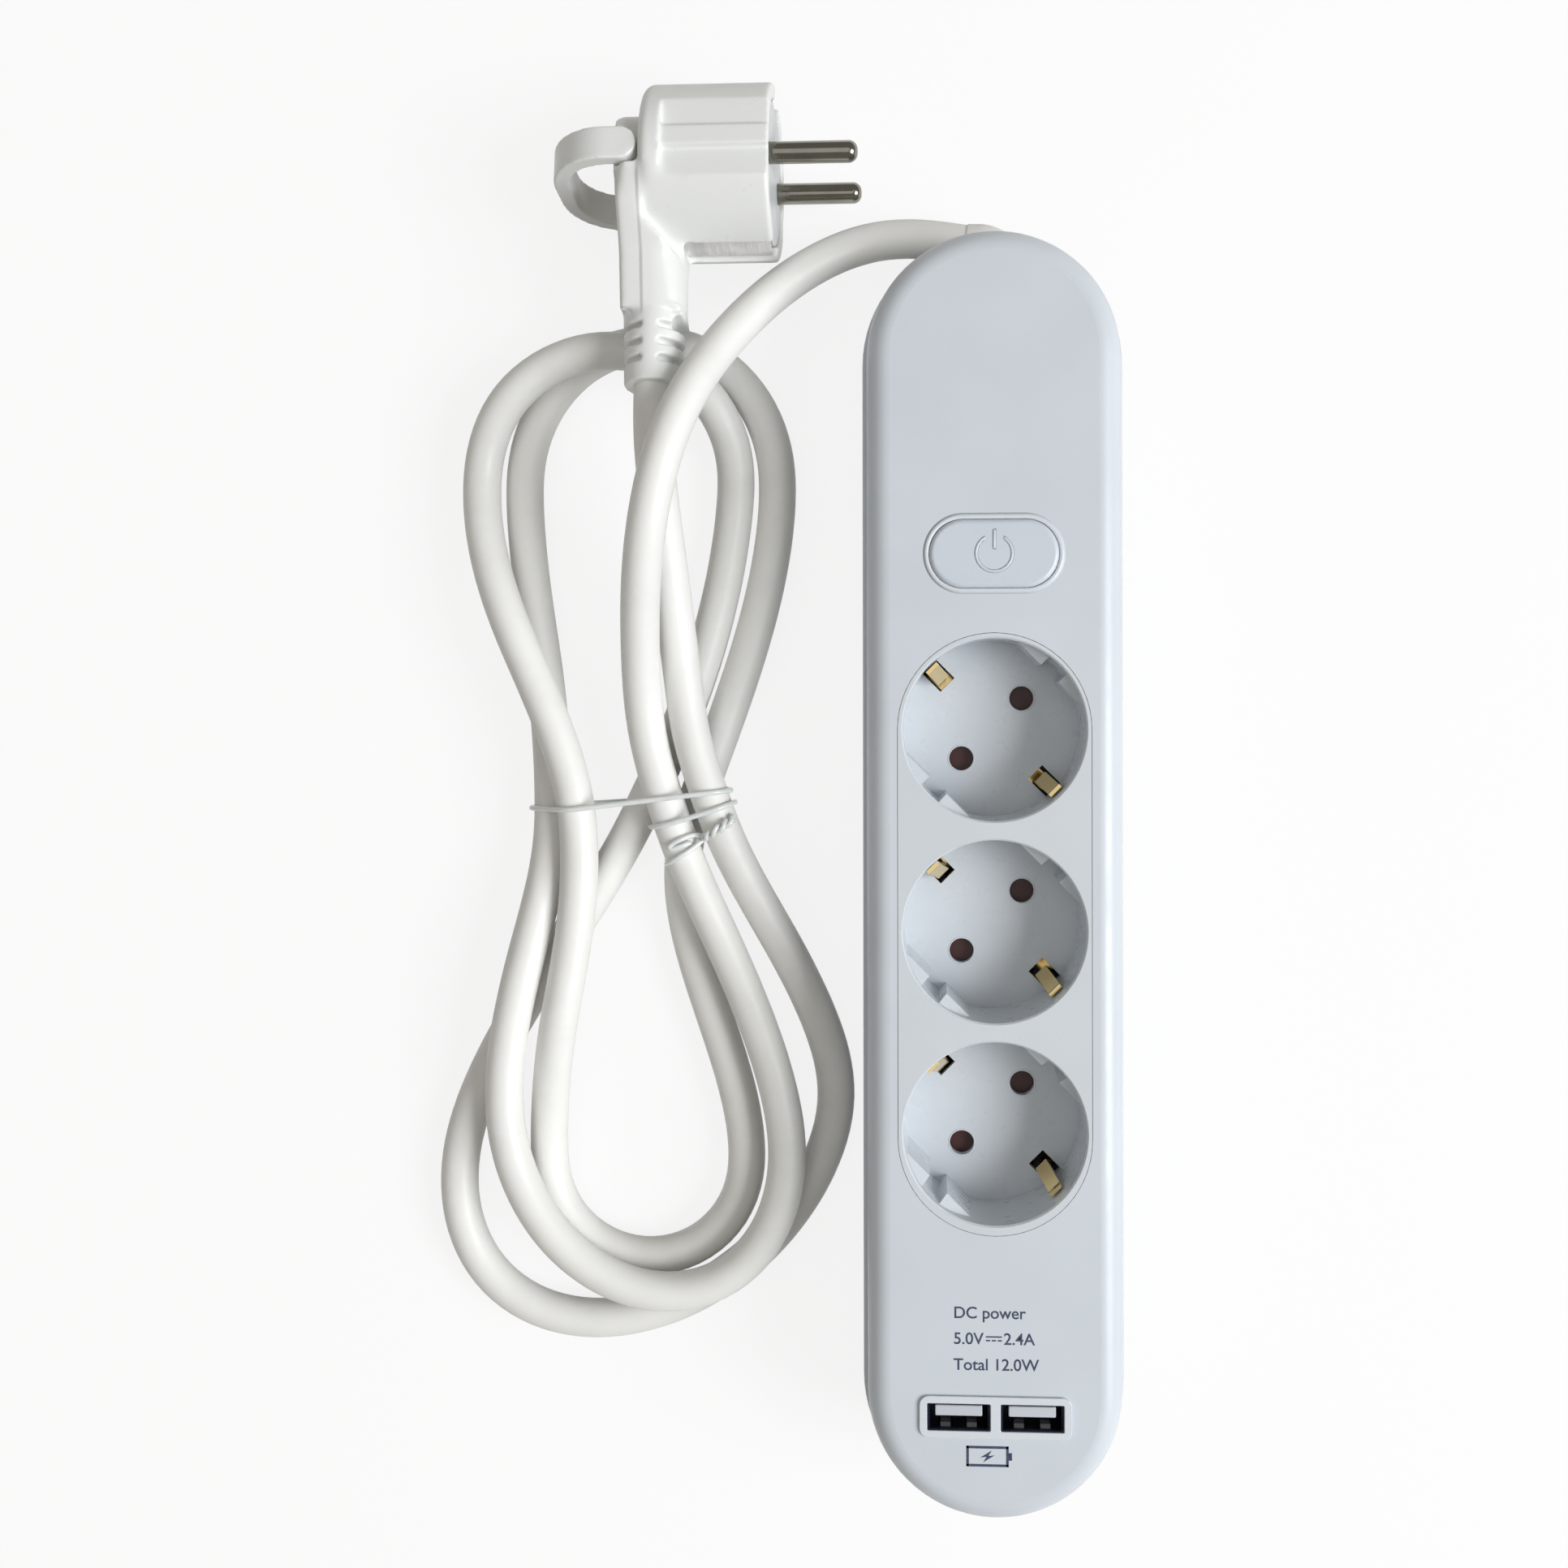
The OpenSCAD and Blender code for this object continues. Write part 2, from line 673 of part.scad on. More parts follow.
module earth_clip() {
    bend = well_z + 2;
    rotate([90, 0, 0])
        linear_extrude(earth_w, center = true)
            polygon([[clip_r - earth_t, earth_z], [clip_r, earth_z], [clip_r, bend - 6.5],
                [clip_in + earth_t, bend], [clip_r, bend + 9], [clip_r, bend + 11],
                [clip_r - earth_t, bend + 11], [clip_r - earth_t, bend + 9.3], [clip_in, bend],
                [clip_r - earth_t, bend - 6.9]]);
}

module earth_busbar() {
    color(brass) {
        translate([0, (bar_top + cup_y[2] - 4) / 2, 0])
            block([earth_w, bar_top - cup_y[2] + 4], earth_z, earth_z + earth_t);
        at_sockets()
            for (a = [135, -45])
                rotate(a) {
                    translate([clip_r / 2, 0, 0]) block([clip_r, earth_w], earth_z, earth_z + earth_t);
                    earth_clip();
                }
    }
}

// ---- switch ------------------------------------------------------------------------------

module power_symbol() {
    difference() {
        circle(symbol_r + symbol_line / 2);
        circle(symbol_r - symbol_line / 2);
        translate([0, symbol_gap]) square(symbol_gap, center = true);
    }
    translate([-symbol_line / 2, symbol_line]) square([symbol_line, symbol_bar]);
}

module switch_button() {
    button_h = strip_h + button_proud - button_z;
    color(shell_white)
        translate([0, switch_y, 0])
            difference() {
                union() {
                    translate([0, 0, button_z])
                        rotate(90)
                            pill_sweep((button_w - button_l) / 2)
                                side_profile(button_l / 2, button_h, 0.2, 1.1);
                    pill(open_w + 2, open_l + 2, button_z, button_z + button_flange_t);
                    rod(5, button_z - 6.5, button_z + 1);
                }
                translate([0, 0, strip_h + button_proud - 0.3])
                    linear_extrude(1) power_symbol();
            }
}

module switch_spring() {
    color("silver")
        translate([0, switch_y, 0])
            difference() {
                rod(9.2, switch_body_z + switch_body_h, button_z);
                rod(6.4, switch_body_z, button_z + 1);
            }
}

module switch_body() {
    body_top = switch_body_z + switch_body_h;
    color("dimgray")
        translate([0, switch_y, 0])
            difference() {
                block(switch_body, switch_body_z, body_top);
                rod(5 + 2 * run_gap, button_z - travel - 7.2, body_top + 1);
            }
}

module switch_tabs() {
    color("silver")
        for (x = [-1, 1], y = [-1, 1])
            translate([x * tab_x, switch_y + y * (switch_body[1] + tab[1]) / 2, 0])
                block([tab[0], tab[1]], tab_z, tab_z + tab[2]);
}

// ---- charging ports ----------------------------------------------------------------------

module usb_board() {
    color("darkgreen")
        difference() {
            translate([0, board_y, 0]) block(board, board_z, board_z + board_t);
            for (p = board_posts) translate(p) rod(small_screw_d + 0.3, board_z - 1, board_z + 3);
        }
}

module usb_port(side) {
    low = board_z + board_t;
    high = strip_h - 0.1;
    color("silver")
        translate([side * port_x, port_y, 0])
            difference() {
                block([port_w, port_l], low, high);
                block([port_w - 2 * port_wall, port_l - 2 * port_wall], low - 1, high + 1);
                for (x = [-1, 1])
                    translate([x * port_w / 4, -port_l / 2, 0]) block([1.8, 2], low + 7, high - 3);
            }
}

module usb_tongues() {
    low = board_z + board_t;
    color("white")
        for (s = [-1, 1])
            translate([s * port_x, port_y, 0]) {
                block([port_w - 2 * port_wall - 0.1, port_l - 2 * port_wall - 0.1], low, low + 3);
                translate([0, (port_l - tongue_t) / 2 - port_wall - 0.3, 0])
                    block([tongue_w, tongue_t], low + 2.9, strip_h - 0.9);
            }
}

module usb_contacts() {
    low = board_z + board_t + 3;
    color(brass)
        for (s = [-1, 1], k = [-1.5:1:1.5])
            translate([s * port_x + k * 2.4, port_y + port_l / 2 - port_wall - tongue_t - 0.4, 0])
                block([1.1, 0.2], low, strip_h - 2.6);
}

module usb_transformer() {
    color("darkslategray")
        translate([-4, port_y + 3, 0]) {
            block([16, 14], board_z - 3, board_z);
            block([13, 8], board_z - 13, board_z - 3 + eps);
            block([16, 14], board_z - 13.5, board_z - 10);
        }
}

module usb_capacitors() {
    color("steelblue")
        for (dy = [5.5, -4])
            translate([12, port_y + dy, 0]) rod(8, board_z - 12, board_z);
}

module board_screws() {
    color("silver")
        for (p = board_posts)
            translate([p[0], p[1], board_z + board_t])
                mirror([0, 0, 1]) screw(small_screw_d, 8, 4.4, 1.6);
}

// ---- cord at the strip -------------------------------------------------------------------

module along_y(y, z) {
    translate([exit_x, y, z]) rotate([-90, 0, 0]) children();
}

module at_clamp_screws() {
    for (x = [-1, 1]) translate([exit_x + x * clamp_screw_x, clamp_y, 0]) children();
}

module cord_boot() {
    color(cord_white) {
        along_y(boot_in_y, exit_z) cylinder(d = collar_d + 1, h = 2);
        along_y(boot_in_y, exit_z) cylinder(d = neck_d, h = elbow_y - boot_in_y);
        along_y(elbow_y - collar_t, exit_z) cylinder(d = collar_d, h = collar_t + 0.2);
        translate([exit_x - elbow_r, elbow_y, exit_z])
            rotate_extrude(angle = elbow_turn)
                translate([elbow_r, 0]) circle(d = sleeve_d);
        translate(mouth - (mouth_len + 0.4) * mouth_dir)
            rotate([0, 0, elbow_turn])
                rotate([-90, 0, 0])
                    cylinder(d1 = sleeve_d + 0.3, d2 = sleeve_d - 1.2, h = mouth_len + 0.4);
    }
}

module cord_tail() {
    color(cord_white) along_y(tail_end_y, exit_z) cylinder(d = cord_d, h = boot_in_y - tail_end_y);
}

module cord_clamp() {
    color("gainsboro")
        difference() {
            translate([exit_x, clamp_y, 0])
                block([clamp_size[0], clamp_size[1]], exit_z + 0.5, exit_z + clamp_size[2]);
            along_y(clamp_y - 10, exit_z) cylinder(d = cord_d + 0.1, h = 20);
            at_clamp_screws() rod(screw_d + 0.3, exit_z - 1, exit_z + 9);
        }
}

module clamp_screws() {
    color("silver")
        at_clamp_screws()
            translate([0, 0, exit_z + clamp_size[2]])
                mirror([0, 0, 1]) screw(screw_d, 13, screw_head_d, screw_head_h);
}

module wire(points) {
    n = len(points);
    tube(curve(points, 3), wire_d, 8, points[1] - points[0], points[n - 1] - points[n - 2],
        [1, 0, 0]);
}

// The two live wires, or their mirror images for neutral, and the lead to the charging board
module feed_wires(side) {
    out_y = switch_y + switch_body[1] / 2 + tab[1];
    in_y = switch_y - switch_body[1] / 2 - tab[1];
    run = bar_low - board_edge;
    wire([[exit_x + side * 1.75, tail_end_y - wire_start, exit_z + 1],
        [exit_x + side * 2.4, tail_end_y - 5, exit_z + 1.6],
        [side * tab_x, out_y + 6, tab_z + 3], [side * tab_x, out_y + 0.1, tab_z + 3]]);
    wire([[side * tab_x, in_y - wire_start, tab_z + 3], [side * tab_x, in_y - 3, tab_z + 2.4],
        [side * (tab_x + 1), in_y - 5.5, bar_z + 8],
        [side * pin_x, bar_top - 2, bar_wire_z + 0.9], [side * pin_x, bar_top - 4.5, bar_wire_z],
        [side * pin_x, bar_top - 7, bar_wire_z]]);
    wire([[side * pin_x, bar_low + 8, bar_wire_z], [side * pin_x, bar_low + 3, bar_wire_z + 0.5],
        [side * (board_wire_x - 0.8), bar_low - run * 7 / 24, board_wire_z[0]],
        [side * (board_wire_x - 0.3), bar_low - run * 2 / 3, board_wire_z[1]],
        [side * board_wire_x, board_edge - 1.6, board_z - 3],
        [side * board_wire_x, board_edge - 2, board_z - wire_start]]);
}

module live_wires() {
    color("saddlebrown") feed_wires(-1);
}

module neutral_wires() {
    color("royalblue") feed_wires(1);
}

module earth_wire() {
    color("yellowgreen")
        wire([[exit_x, tail_end_y - wire_start, exit_z - 2.1], [exit_x + 1, tail_end_y - 4, exit_z - 2.4],
            [earth_wire_x, switch_y + switch_body[1], earth_wire_high],
            [earth_wire_x, switch_y, earth_wire_low],
            [earth_wire_x - 0.8, switch_y - 10, earth_wire_low - 0.5],
            [exit_x, bar_top + 3, earth_z + 4.2], [0, bar_top - 3, earth_wire_z],
            [0, bar_top - 8, earth_wire_z]]);
}

// ---- free cord ---------------------------------------------------------------------------

module cord_lead() {
    color(cord_white)
        tube(curve(lead_path, 1), cord_d, lead_sides, mouth_dir, -strand_dir(strands[0]));
}

module cord_hank() {
    color(cord_white)
        tube(hank_path(rings_per_bow), cord_d, hank_sides, -strand_dir(strands[0]),
            strand_dir(strands[5]));
}

module plug_lead() {
    color(cord_white)
        tube(curve(plug_lead_path, 1), cord_d, lead_sides, strand_dir(strands[5]), -relief_dir);
}

module waist_outline(grow) {
    hull()
        for (s = strands) translate([s[0], waist_z(s)]) circle(d = cord_d + 2 * grow, $fn = 32);
}

module cord_tie() {
    color("lightcyan")
        translate([0, waist_y + tie_w / 2, 0])
            rotate([90, 0, 0])
                linear_extrude(tie_w)
                    difference() {
                        waist_outline(tie_gap + tie_t);
                        waist_outline(tie_gap);
                    }
}

// ---- plug --------------------------------------------------------------------------------

module at_plug() {
    translate(plug_at) rotate([-plug_tilt, 0, 0]) children();
}

module along_x(x) {
    translate([x, 0, 0]) rotate([0, 90, 0]) children();
}

module plug_head() {
    difference() {
        along_x(-plug_len)
            rotate_extrude() side_profile(plug_d / 2, plug_len, 2.4, 0.8);
        for (s = [0, 1])
            mirror([0, 0, s])
                difference() {
                    translate([-plug_len + 5, -plug_d / 2, plug_flat]) cube([plug_len, plug_d, 9]);
                    translate([-plug_len, -ridge_w / 2, 0]) cube([plug_len + 1, ridge_w, plug_flat + 1.2]);
                }
    }
}

// The neck is a wedge: its plan, its side view and its section are extruded and intersected
module plug_neck() {
    start = hub_y - ring_w / 2 - 0.4;
    finish = relief_len - relief_reach + 1;
    left = neck_x - neck_w / 2;
    right = neck_x + neck_w / 2;
    intersection() {
        translate([0, 0, -30])
            linear_extrude(60)
                polygon([[left - 0.6, start], [-plug_len + 1, start], [-plug_len + 1, -16], [right, -23],
                    [right, finish], [left, finish], [left, start - 8]]);
        rotate([90, 0, 90])
            linear_extrude(120, center = true)
                polygon([[start, -17.4], [start, 17.4], [-13, 15.4], [-22, 10], [finish, 7],
                    [finish, -7], [-22, -10], [-13, -15.4]]);
        rotate([90, 0, 0])
            linear_extrude(80)
                polygon([[left - 1, -14], [left + 3, -18], [right - 6, -18], [right, -7], [right, 7],
                    [right - 6, 18], [left + 3, 18], [left - 1, 14]]);
    }
}

module plug_hub() {
    left = neck_x - neck_w / 2 - 0.6;
    right = -plug_len + 6;
    low = hub_y - ring_w / 2 - 2;
    high = 10;
    intersection() {
        translate([0, 0, -hub_half])
            linear_extrude(2 * hub_half)
                polygon([[left, low], [right, low], [right, high], [left + 2, high], [left, high - 3]]);
        rotate([90, 0, 90])
            linear_extrude(120, center = true)
                union() {
                    translate([low, -hub_half]) square([high - hub_corner - low, 2 * hub_half]);
                    translate([low, hub_corner - hub_half])
                        square([high - low, 2 * (hub_half - hub_corner)]);
                    for (s = [-1, 1])
                        translate([high - hub_corner, s * (hub_half - hub_corner)]) circle(hub_corner);
                }
    }
    translate([hub_x, hub_y, 0]) rod(ring_stud_d, 0.4 - ring_half, ring_half - 0.4);
}

module relief_slots() {
    for (k = [0:2])
        translate([neck_x, 4.2 + k * 3.8 - relief_reach, 0])
            rotate([-90, 0, 0])
                difference() {
                    cylinder(d = 20, h = 1.5);
                    translate([0, 0, -1]) cylinder(d = relief_d[1] - 3.4, h = 4);
                    translate([0, 0, 1]) cube([3.4, 30, 4], center = true);
                }
}

module strain_relief() {
    difference() {
        translate([neck_x, relief_len - relief_reach + 1.5, 0])
            rotate([90, 0, 0]) cylinder(d1 = relief_d[0], d2 = relief_d[1], h = relief_len + 1.5);
        relief_slots();
    }
}

module plug_body() {
    color(shell_white)
        at_plug()
            difference() {
                union() {
                    plug_head();
                    plug_neck();
                    plug_hub();
                    strain_relief();
                }
                along_x(-20) cylinder(r = front_r + 0.15, h = 30);
                translate([-22.5, -plug_d, -4.7]) cube([30, 2 * plug_d, 9.4]);
            }
}

module plug_front() {
    color("gainsboro")
        at_plug()
            difference() {
                along_x(front_x) rotate_extrude() side_profile(front_r, front_t, 0.2, 0.6);
                for (s = [-1, 1])
                    translate([0, 0, s * pin_spacing / 2]) along_x(-30) cylinder(d = pin_d + 0.1, h = 40);
            }
}

module plug_pins() {
    color("silver")
        at_plug()
            for (s = [-1, 1])
                translate([0, 0, s * pin_spacing / 2])
                    along_x(pin_root) {
                        cylinder(d = pin_d - 0.4, h = -pin_root);
                        translate([0, 0, pin_start - pin_root])
                            rotate_extrude()
                                intersection() {
                                    square([pin_d, pin_len - pin_start]);
                                    side_profile(pin_d / 2, pin_len - pin_start, 0.1, 2);
                                }
                    }
}

module plug_earth_contact() {
    color("silver")
        at_plug()
            difference() {
                translate([-21.2, -strip_in - 0.8, -4.2]) cube([20.2, 2 * strip_in + 1.6, 8.4]);
                translate([-20.4, -strip_in, -5]) cube([30, 2 * strip_in, 10]);
            }
}

// The pull ring seen along Y: two arms that a round end joins
module ring_outline(half, reach, corner) {
    intersection() {
        translate([-reach, -half]) square([reach + ring_w / 2, 2 * half]);
        union() {
            translate([corner - reach, -half]) square([reach + ring_w / 2 - corner, 2 * half]);
            translate([-reach, corner - half]) square([reach, 2 * (half - corner)]);
            for (s = [-1, 1])
                translate([corner - reach, s * (half - corner)]) circle(corner);
        }
    }
}

// Rounds the end of an arm about the hinge
module ring_end_cut() {
    translate([0, ring_half - ring_t - 1, 0])
        rotate([-90, 0, 0])
            difference() {
                translate([0, -ring_w, 0]) cube([ring_w, 2 * ring_w, ring_t + 2]);
                translate([0, 0, -1]) cylinder(d = ring_w, h = ring_t + 4);
            }
}

module plug_ring() {
    color(shell_white)
        at_plug()
            translate([hub_x, hub_y, 0])
                rotate([90, 0, 0])
                    difference() {
                        linear_extrude(ring_w, center = true)
                            ring_outline(ring_half, ring_reach, ring_corner);
                        translate([0, 0, -ring_w])
                            linear_extrude(2 * ring_w)
                                ring_outline(ring_half - ring_t, ring_reach - ring_t, ring_corner - ring_t);
                        for (s = [0, 1])
                            mirror([0, s, 0]) ring_end_cut();
                        rotate([90, 0, 0])
                            cylinder(d = ring_stud_d + 2 * run_gap, h = 60, center = true);
                    }
}

report_hank();
bottom_cover();
top_cover();
socket_panel();
shutter(0);  // shutter_1
shutter(1);  // shutter_2
shutter(2);  // shutter_3
busbar(-1);  // live_busbar
busbar(1);  // neutral_busbar
earth_busbar();
switch_button();
switch_spring();
switch_body();
switch_tabs();
usb_board();
usb_port(-1);  // usb_port_left
usb_port(1);  // usb_port_right
usb_tongues();
usb_contacts();
usb_transformer();
usb_capacitors();
board_screws();
case_screws();
cord_clamp();
clamp_screws();
cord_tail();
live_wires();
neutral_wires();
earth_wire();
cord_boot();
cord_lead();
cord_hank();
plug_lead();
cord_tie();
plug_body();
plug_front();
plug_pins();
plug_earth_contact();
plug_ring();
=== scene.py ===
import json
import logging
import math
from collections.abc import Callable, Iterable, Sequence
from dataclasses import dataclass, field
from enum import Enum
from typing import Any

import bmesh
import bpy
from mathutils import Matrix, Vector

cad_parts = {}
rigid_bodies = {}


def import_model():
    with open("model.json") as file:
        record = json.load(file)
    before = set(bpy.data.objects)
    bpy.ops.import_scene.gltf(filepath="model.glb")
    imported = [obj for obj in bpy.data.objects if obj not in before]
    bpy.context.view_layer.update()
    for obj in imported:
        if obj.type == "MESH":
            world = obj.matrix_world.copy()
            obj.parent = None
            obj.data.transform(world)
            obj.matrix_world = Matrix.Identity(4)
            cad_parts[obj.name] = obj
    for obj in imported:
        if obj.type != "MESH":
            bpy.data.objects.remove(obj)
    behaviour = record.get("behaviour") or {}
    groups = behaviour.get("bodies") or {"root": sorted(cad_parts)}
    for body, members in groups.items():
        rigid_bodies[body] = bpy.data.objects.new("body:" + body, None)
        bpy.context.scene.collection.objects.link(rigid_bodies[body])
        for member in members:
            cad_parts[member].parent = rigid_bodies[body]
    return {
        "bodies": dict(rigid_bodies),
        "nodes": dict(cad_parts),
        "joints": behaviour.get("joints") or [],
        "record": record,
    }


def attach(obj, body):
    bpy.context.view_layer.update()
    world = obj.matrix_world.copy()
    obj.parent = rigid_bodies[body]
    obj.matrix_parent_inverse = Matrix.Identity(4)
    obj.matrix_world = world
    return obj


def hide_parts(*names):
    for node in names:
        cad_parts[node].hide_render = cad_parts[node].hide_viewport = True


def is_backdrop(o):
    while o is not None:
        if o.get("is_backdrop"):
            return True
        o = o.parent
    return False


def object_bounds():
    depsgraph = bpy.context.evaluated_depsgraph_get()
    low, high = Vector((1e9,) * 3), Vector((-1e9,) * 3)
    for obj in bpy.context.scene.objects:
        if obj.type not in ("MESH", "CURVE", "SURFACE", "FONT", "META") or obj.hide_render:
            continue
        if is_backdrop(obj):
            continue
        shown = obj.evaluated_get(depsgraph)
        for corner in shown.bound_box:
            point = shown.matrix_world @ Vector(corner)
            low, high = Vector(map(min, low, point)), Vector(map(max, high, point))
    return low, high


LOG = logging.getLogger("power_strip")
MM = 0.001
UP = Vector((0.0, 0.0, 1.0))

TINY = 1e-9

Colour = tuple[float, float, float]
Point = tuple[float, float, float]
Pair = tuple[float, float]
Shape = tuple[list[Vector], list[tuple[int, ...]]]


# ---------------------------------------------------------------- names that are chosen from

class Body(Enum):
    """The moving bodies that pieces ride on."""

    STRIP = "strip"
    BUTTON = "button"
    RING = "ring"


class Slot(Enum):
    """The record's material slots."""

    SHELL = "strip_shell"
    SOCKET = "socket_plastic"
    SHUTTER = "shutter_plastic"
    CORD = "cord_plastic"
    PLUG = "plug_plastic"
    TIE = "tie_plastic"
    BRASS = "contact_brass"
    NICKEL = "nickel"
    ZINC = "zinc_steel"
    DARK = "dark_plastic"
    BOARD = "board"
    SLEEVE = "capacitor_sleeve"
    BROWN = "wire_brown"
    BLUE = "wire_blue"
    GREEN = "wire_green"


class Side(Enum):
    """Live is on the -X side of the strip and neutral on the +X side."""

    LIVE = -1
    NEUTRAL = 1


# ---------------------------------------------------------------- finishes

class ShaderTree:
    """Adds and joins the nodes of one material around a Principled shader."""

    def __init__(self, name: str) -> None:
        """Starts an empty material of that name with its shader and output."""
        self.material = bpy.data.materials.new(name)
        self.material.use_nodes = True
        self.tree = self.material.node_tree
        self.tree.nodes.clear()
        self.shader = self.add("ShaderNodeBsdfPrincipled")
        self.output = self.add("ShaderNodeOutputMaterial")
        self.join(self.shader.outputs["BSDF"], self.output.inputs["Surface"])
        self.place = self.add("ShaderNodeTexCoord").outputs["Object"]

    def add(self, kind: str, **settings: Any) -> bpy.types.Node:
        """Adds a node of that kind and sets its properties."""
        node = self.tree.nodes.new(kind)
        for name, value in settings.items():
            setattr(node, name, value)
        return node

    def join(self, source: bpy.types.NodeSocket, target: bpy.types.NodeSocket) -> None:
        """Links an output to an input."""
        self.tree.links.new(source, target)

    def set(self, **values: Any) -> None:
        """Sets inputs of the shader; an underscore in a name stands for a space."""
        for name, value in values.items():
            self.shader.inputs[name.replace("_", " ")].default_value = value

    def feed(self, **sources: bpy.types.NodeSocket) -> None:
        """Links outputs to inputs of the shader; an underscore in a name stands for a space."""
        for name, source in sources.items():
            self.join(source, self.shader.inputs[name.replace("_", " ")])

    def stretched(self, scale: Point) -> bpy.types.NodeSocket:
        """The place on the piece with each axis scaled."""
        mapping = self.add("ShaderNodeMapping")
        mapping.inputs["Scale"].default_value = scale
        self.join(self.place, mapping.inputs["Vector"])
        return mapping.outputs["Vector"]

    def noise(
        self, scale: float, detail: float = 2.0, place: bpy.types.NodeSocket | None = None
    ) -> bpy.types.NodeSocket:
        """A noise pattern.

        Args:
            scale: cells to a metre.
            detail: how many finer layers it has.
            place: where it is read, or None for the place on the piece.

        Returns:
            The socket with the pattern, from 0 to 1.
        """
        node = self.add("ShaderNodeTexNoise")
        node.inputs["Scale"].default_value = scale
        node.inputs["Detail"].default_value = detail
        self.join(place or self.place, node.inputs["Vector"])
        return node.outputs["Fac"]

    def spread(
        self, source: bpy.types.NodeSocket, low: float, high: float,
        start: float = 0.3, end: float = 0.7,
    ) -> bpy.types.NodeSocket:
        """Maps a pattern onto a range.

        Args:
            source: the pattern.
            low: the value that it gives at start.
            high: the value that it gives at end.
            start: the pattern's value for low.
            end: the pattern's value for high.

        Returns:
            The socket with the mapped value.
        """
        node = self.add("ShaderNodeMapRange")
        numbers = (start, end, low, high)
        names = ("From Min", "From Max", "To Min", "To Max")
        for name, value in zip(names, numbers):
            node.inputs[name].default_value = value
        self.join(source, node.inputs["Value"])
        return node.outputs["Result"]

    def tones(
        self, source: bpy.types.NodeSocket, first: Colour, second: Colour
    ) -> bpy.types.NodeSocket:
        """Mixes two colours by a pattern.

        Args:
            source: the pattern, 0 for the first colour and 1 for the second.
            first: the first colour.
            second: the second colour.

        Returns:
            The socket with the mixed colour.
        """
        node = self.add("ShaderNodeMix", data_type="RGBA")
        colours = {"A_Color": first, "B_Color": second}
        for entry in node.inputs:
            if entry.identifier in colours:
                entry.default_value = (*colours[entry.identifier], 1.0)
        self.join(source, node.inputs["Factor"])
        return next(out for out in node.outputs if out.identifier == "Result_Color")

    def bump(
        self, height: bpy.types.NodeSocket, depth: float,
        over: bpy.types.NodeSocket | None = None,
    ) -> bpy.types.NodeSocket:
        """Turns a pattern into a relief.

        Args:
            height: the pattern.
            depth: its depth in metres.
            over: the normal that it is laid over, if there is one.

        Returns:
            The socket with the new normal.
        """
        node = self.add("ShaderNodeBump")
        node.inputs["Strength"].default_value = 1.0
        node.inputs["Distance"].default_value = depth
        self.join(height, node.inputs["Height"])
        if over is not None:
            self.join(over, node.inputs["Normal"])
        return node.outputs["Normal"]


def toned(colour: Colour, by: float) -> Colour:
    """The colour, darker under 1 and lighter over it, at most full."""
    return tuple(min(1.0, part * by) for part in colour)


@dataclass(frozen=True)
class Finish:
    """A surface finish; each one makes its material once."""

    name: str
    slot: Slot
    colour: Colour
    roughness: float

    def shade(self, tree: ShaderTree) -> None:
        """Fills the material's nodes; each kind of finish has its own."""
        raise NotImplementedError

    def material(self) -> bpy.types.Material:
        """The finish's material, made on its first use."""
        found = bpy.data.materials.get(self.name)
        if found is not None:
            return found
        tree = ShaderTree(self.name)
        tree.set(Roughness=self.roughness)
        self.shade(tree)
        return tree.material


@dataclass(frozen=True)
class MouldedPlastic(Finish):
    """Moulded plastic: fine spark grain, slow tone changes and an uneven gloss.

    Grain and mottle are given in cells to a metre, depths in metres. Patches of gloss and slow
    waves are given as shares of the mottle's scale.
    """

    tone: float = 0.96
    mottle: float = 55.0
    patch_scale: float = 4.0
    wave_scale: float = 0.8
    grain: float = 2600.0
    grain_depth: float = 0.000012
    waviness: float = 0.00006
    gloss_spread: float = 0.06
    specular: float = 0.5

    def shade(self, tree: ShaderTree) -> None:
        """Mottled colour, patchy gloss, grain over slow waves."""
        slow = tree.spread(tree.noise(self.mottle, 3.0), 0.0, 1.0)
        patches = tree.noise(self.mottle * self.patch_scale, 4.0)
        wave = tree.bump(tree.noise(self.mottle * self.wave_scale, 1.0), self.waviness)
        tree.feed(Base_Color=tree.tones(slow, self.colour, toned(self.colour, self.tone)),
                  Roughness=tree.spread(patches, self.roughness - self.gloss_spread,
                                        self.roughness + self.gloss_spread),
                  Normal=tree.bump(tree.noise(self.grain, 2.0), self.grain_depth, wave))
        tree.set(Specular_IOR_Level=self.specular, IOR=1.5)


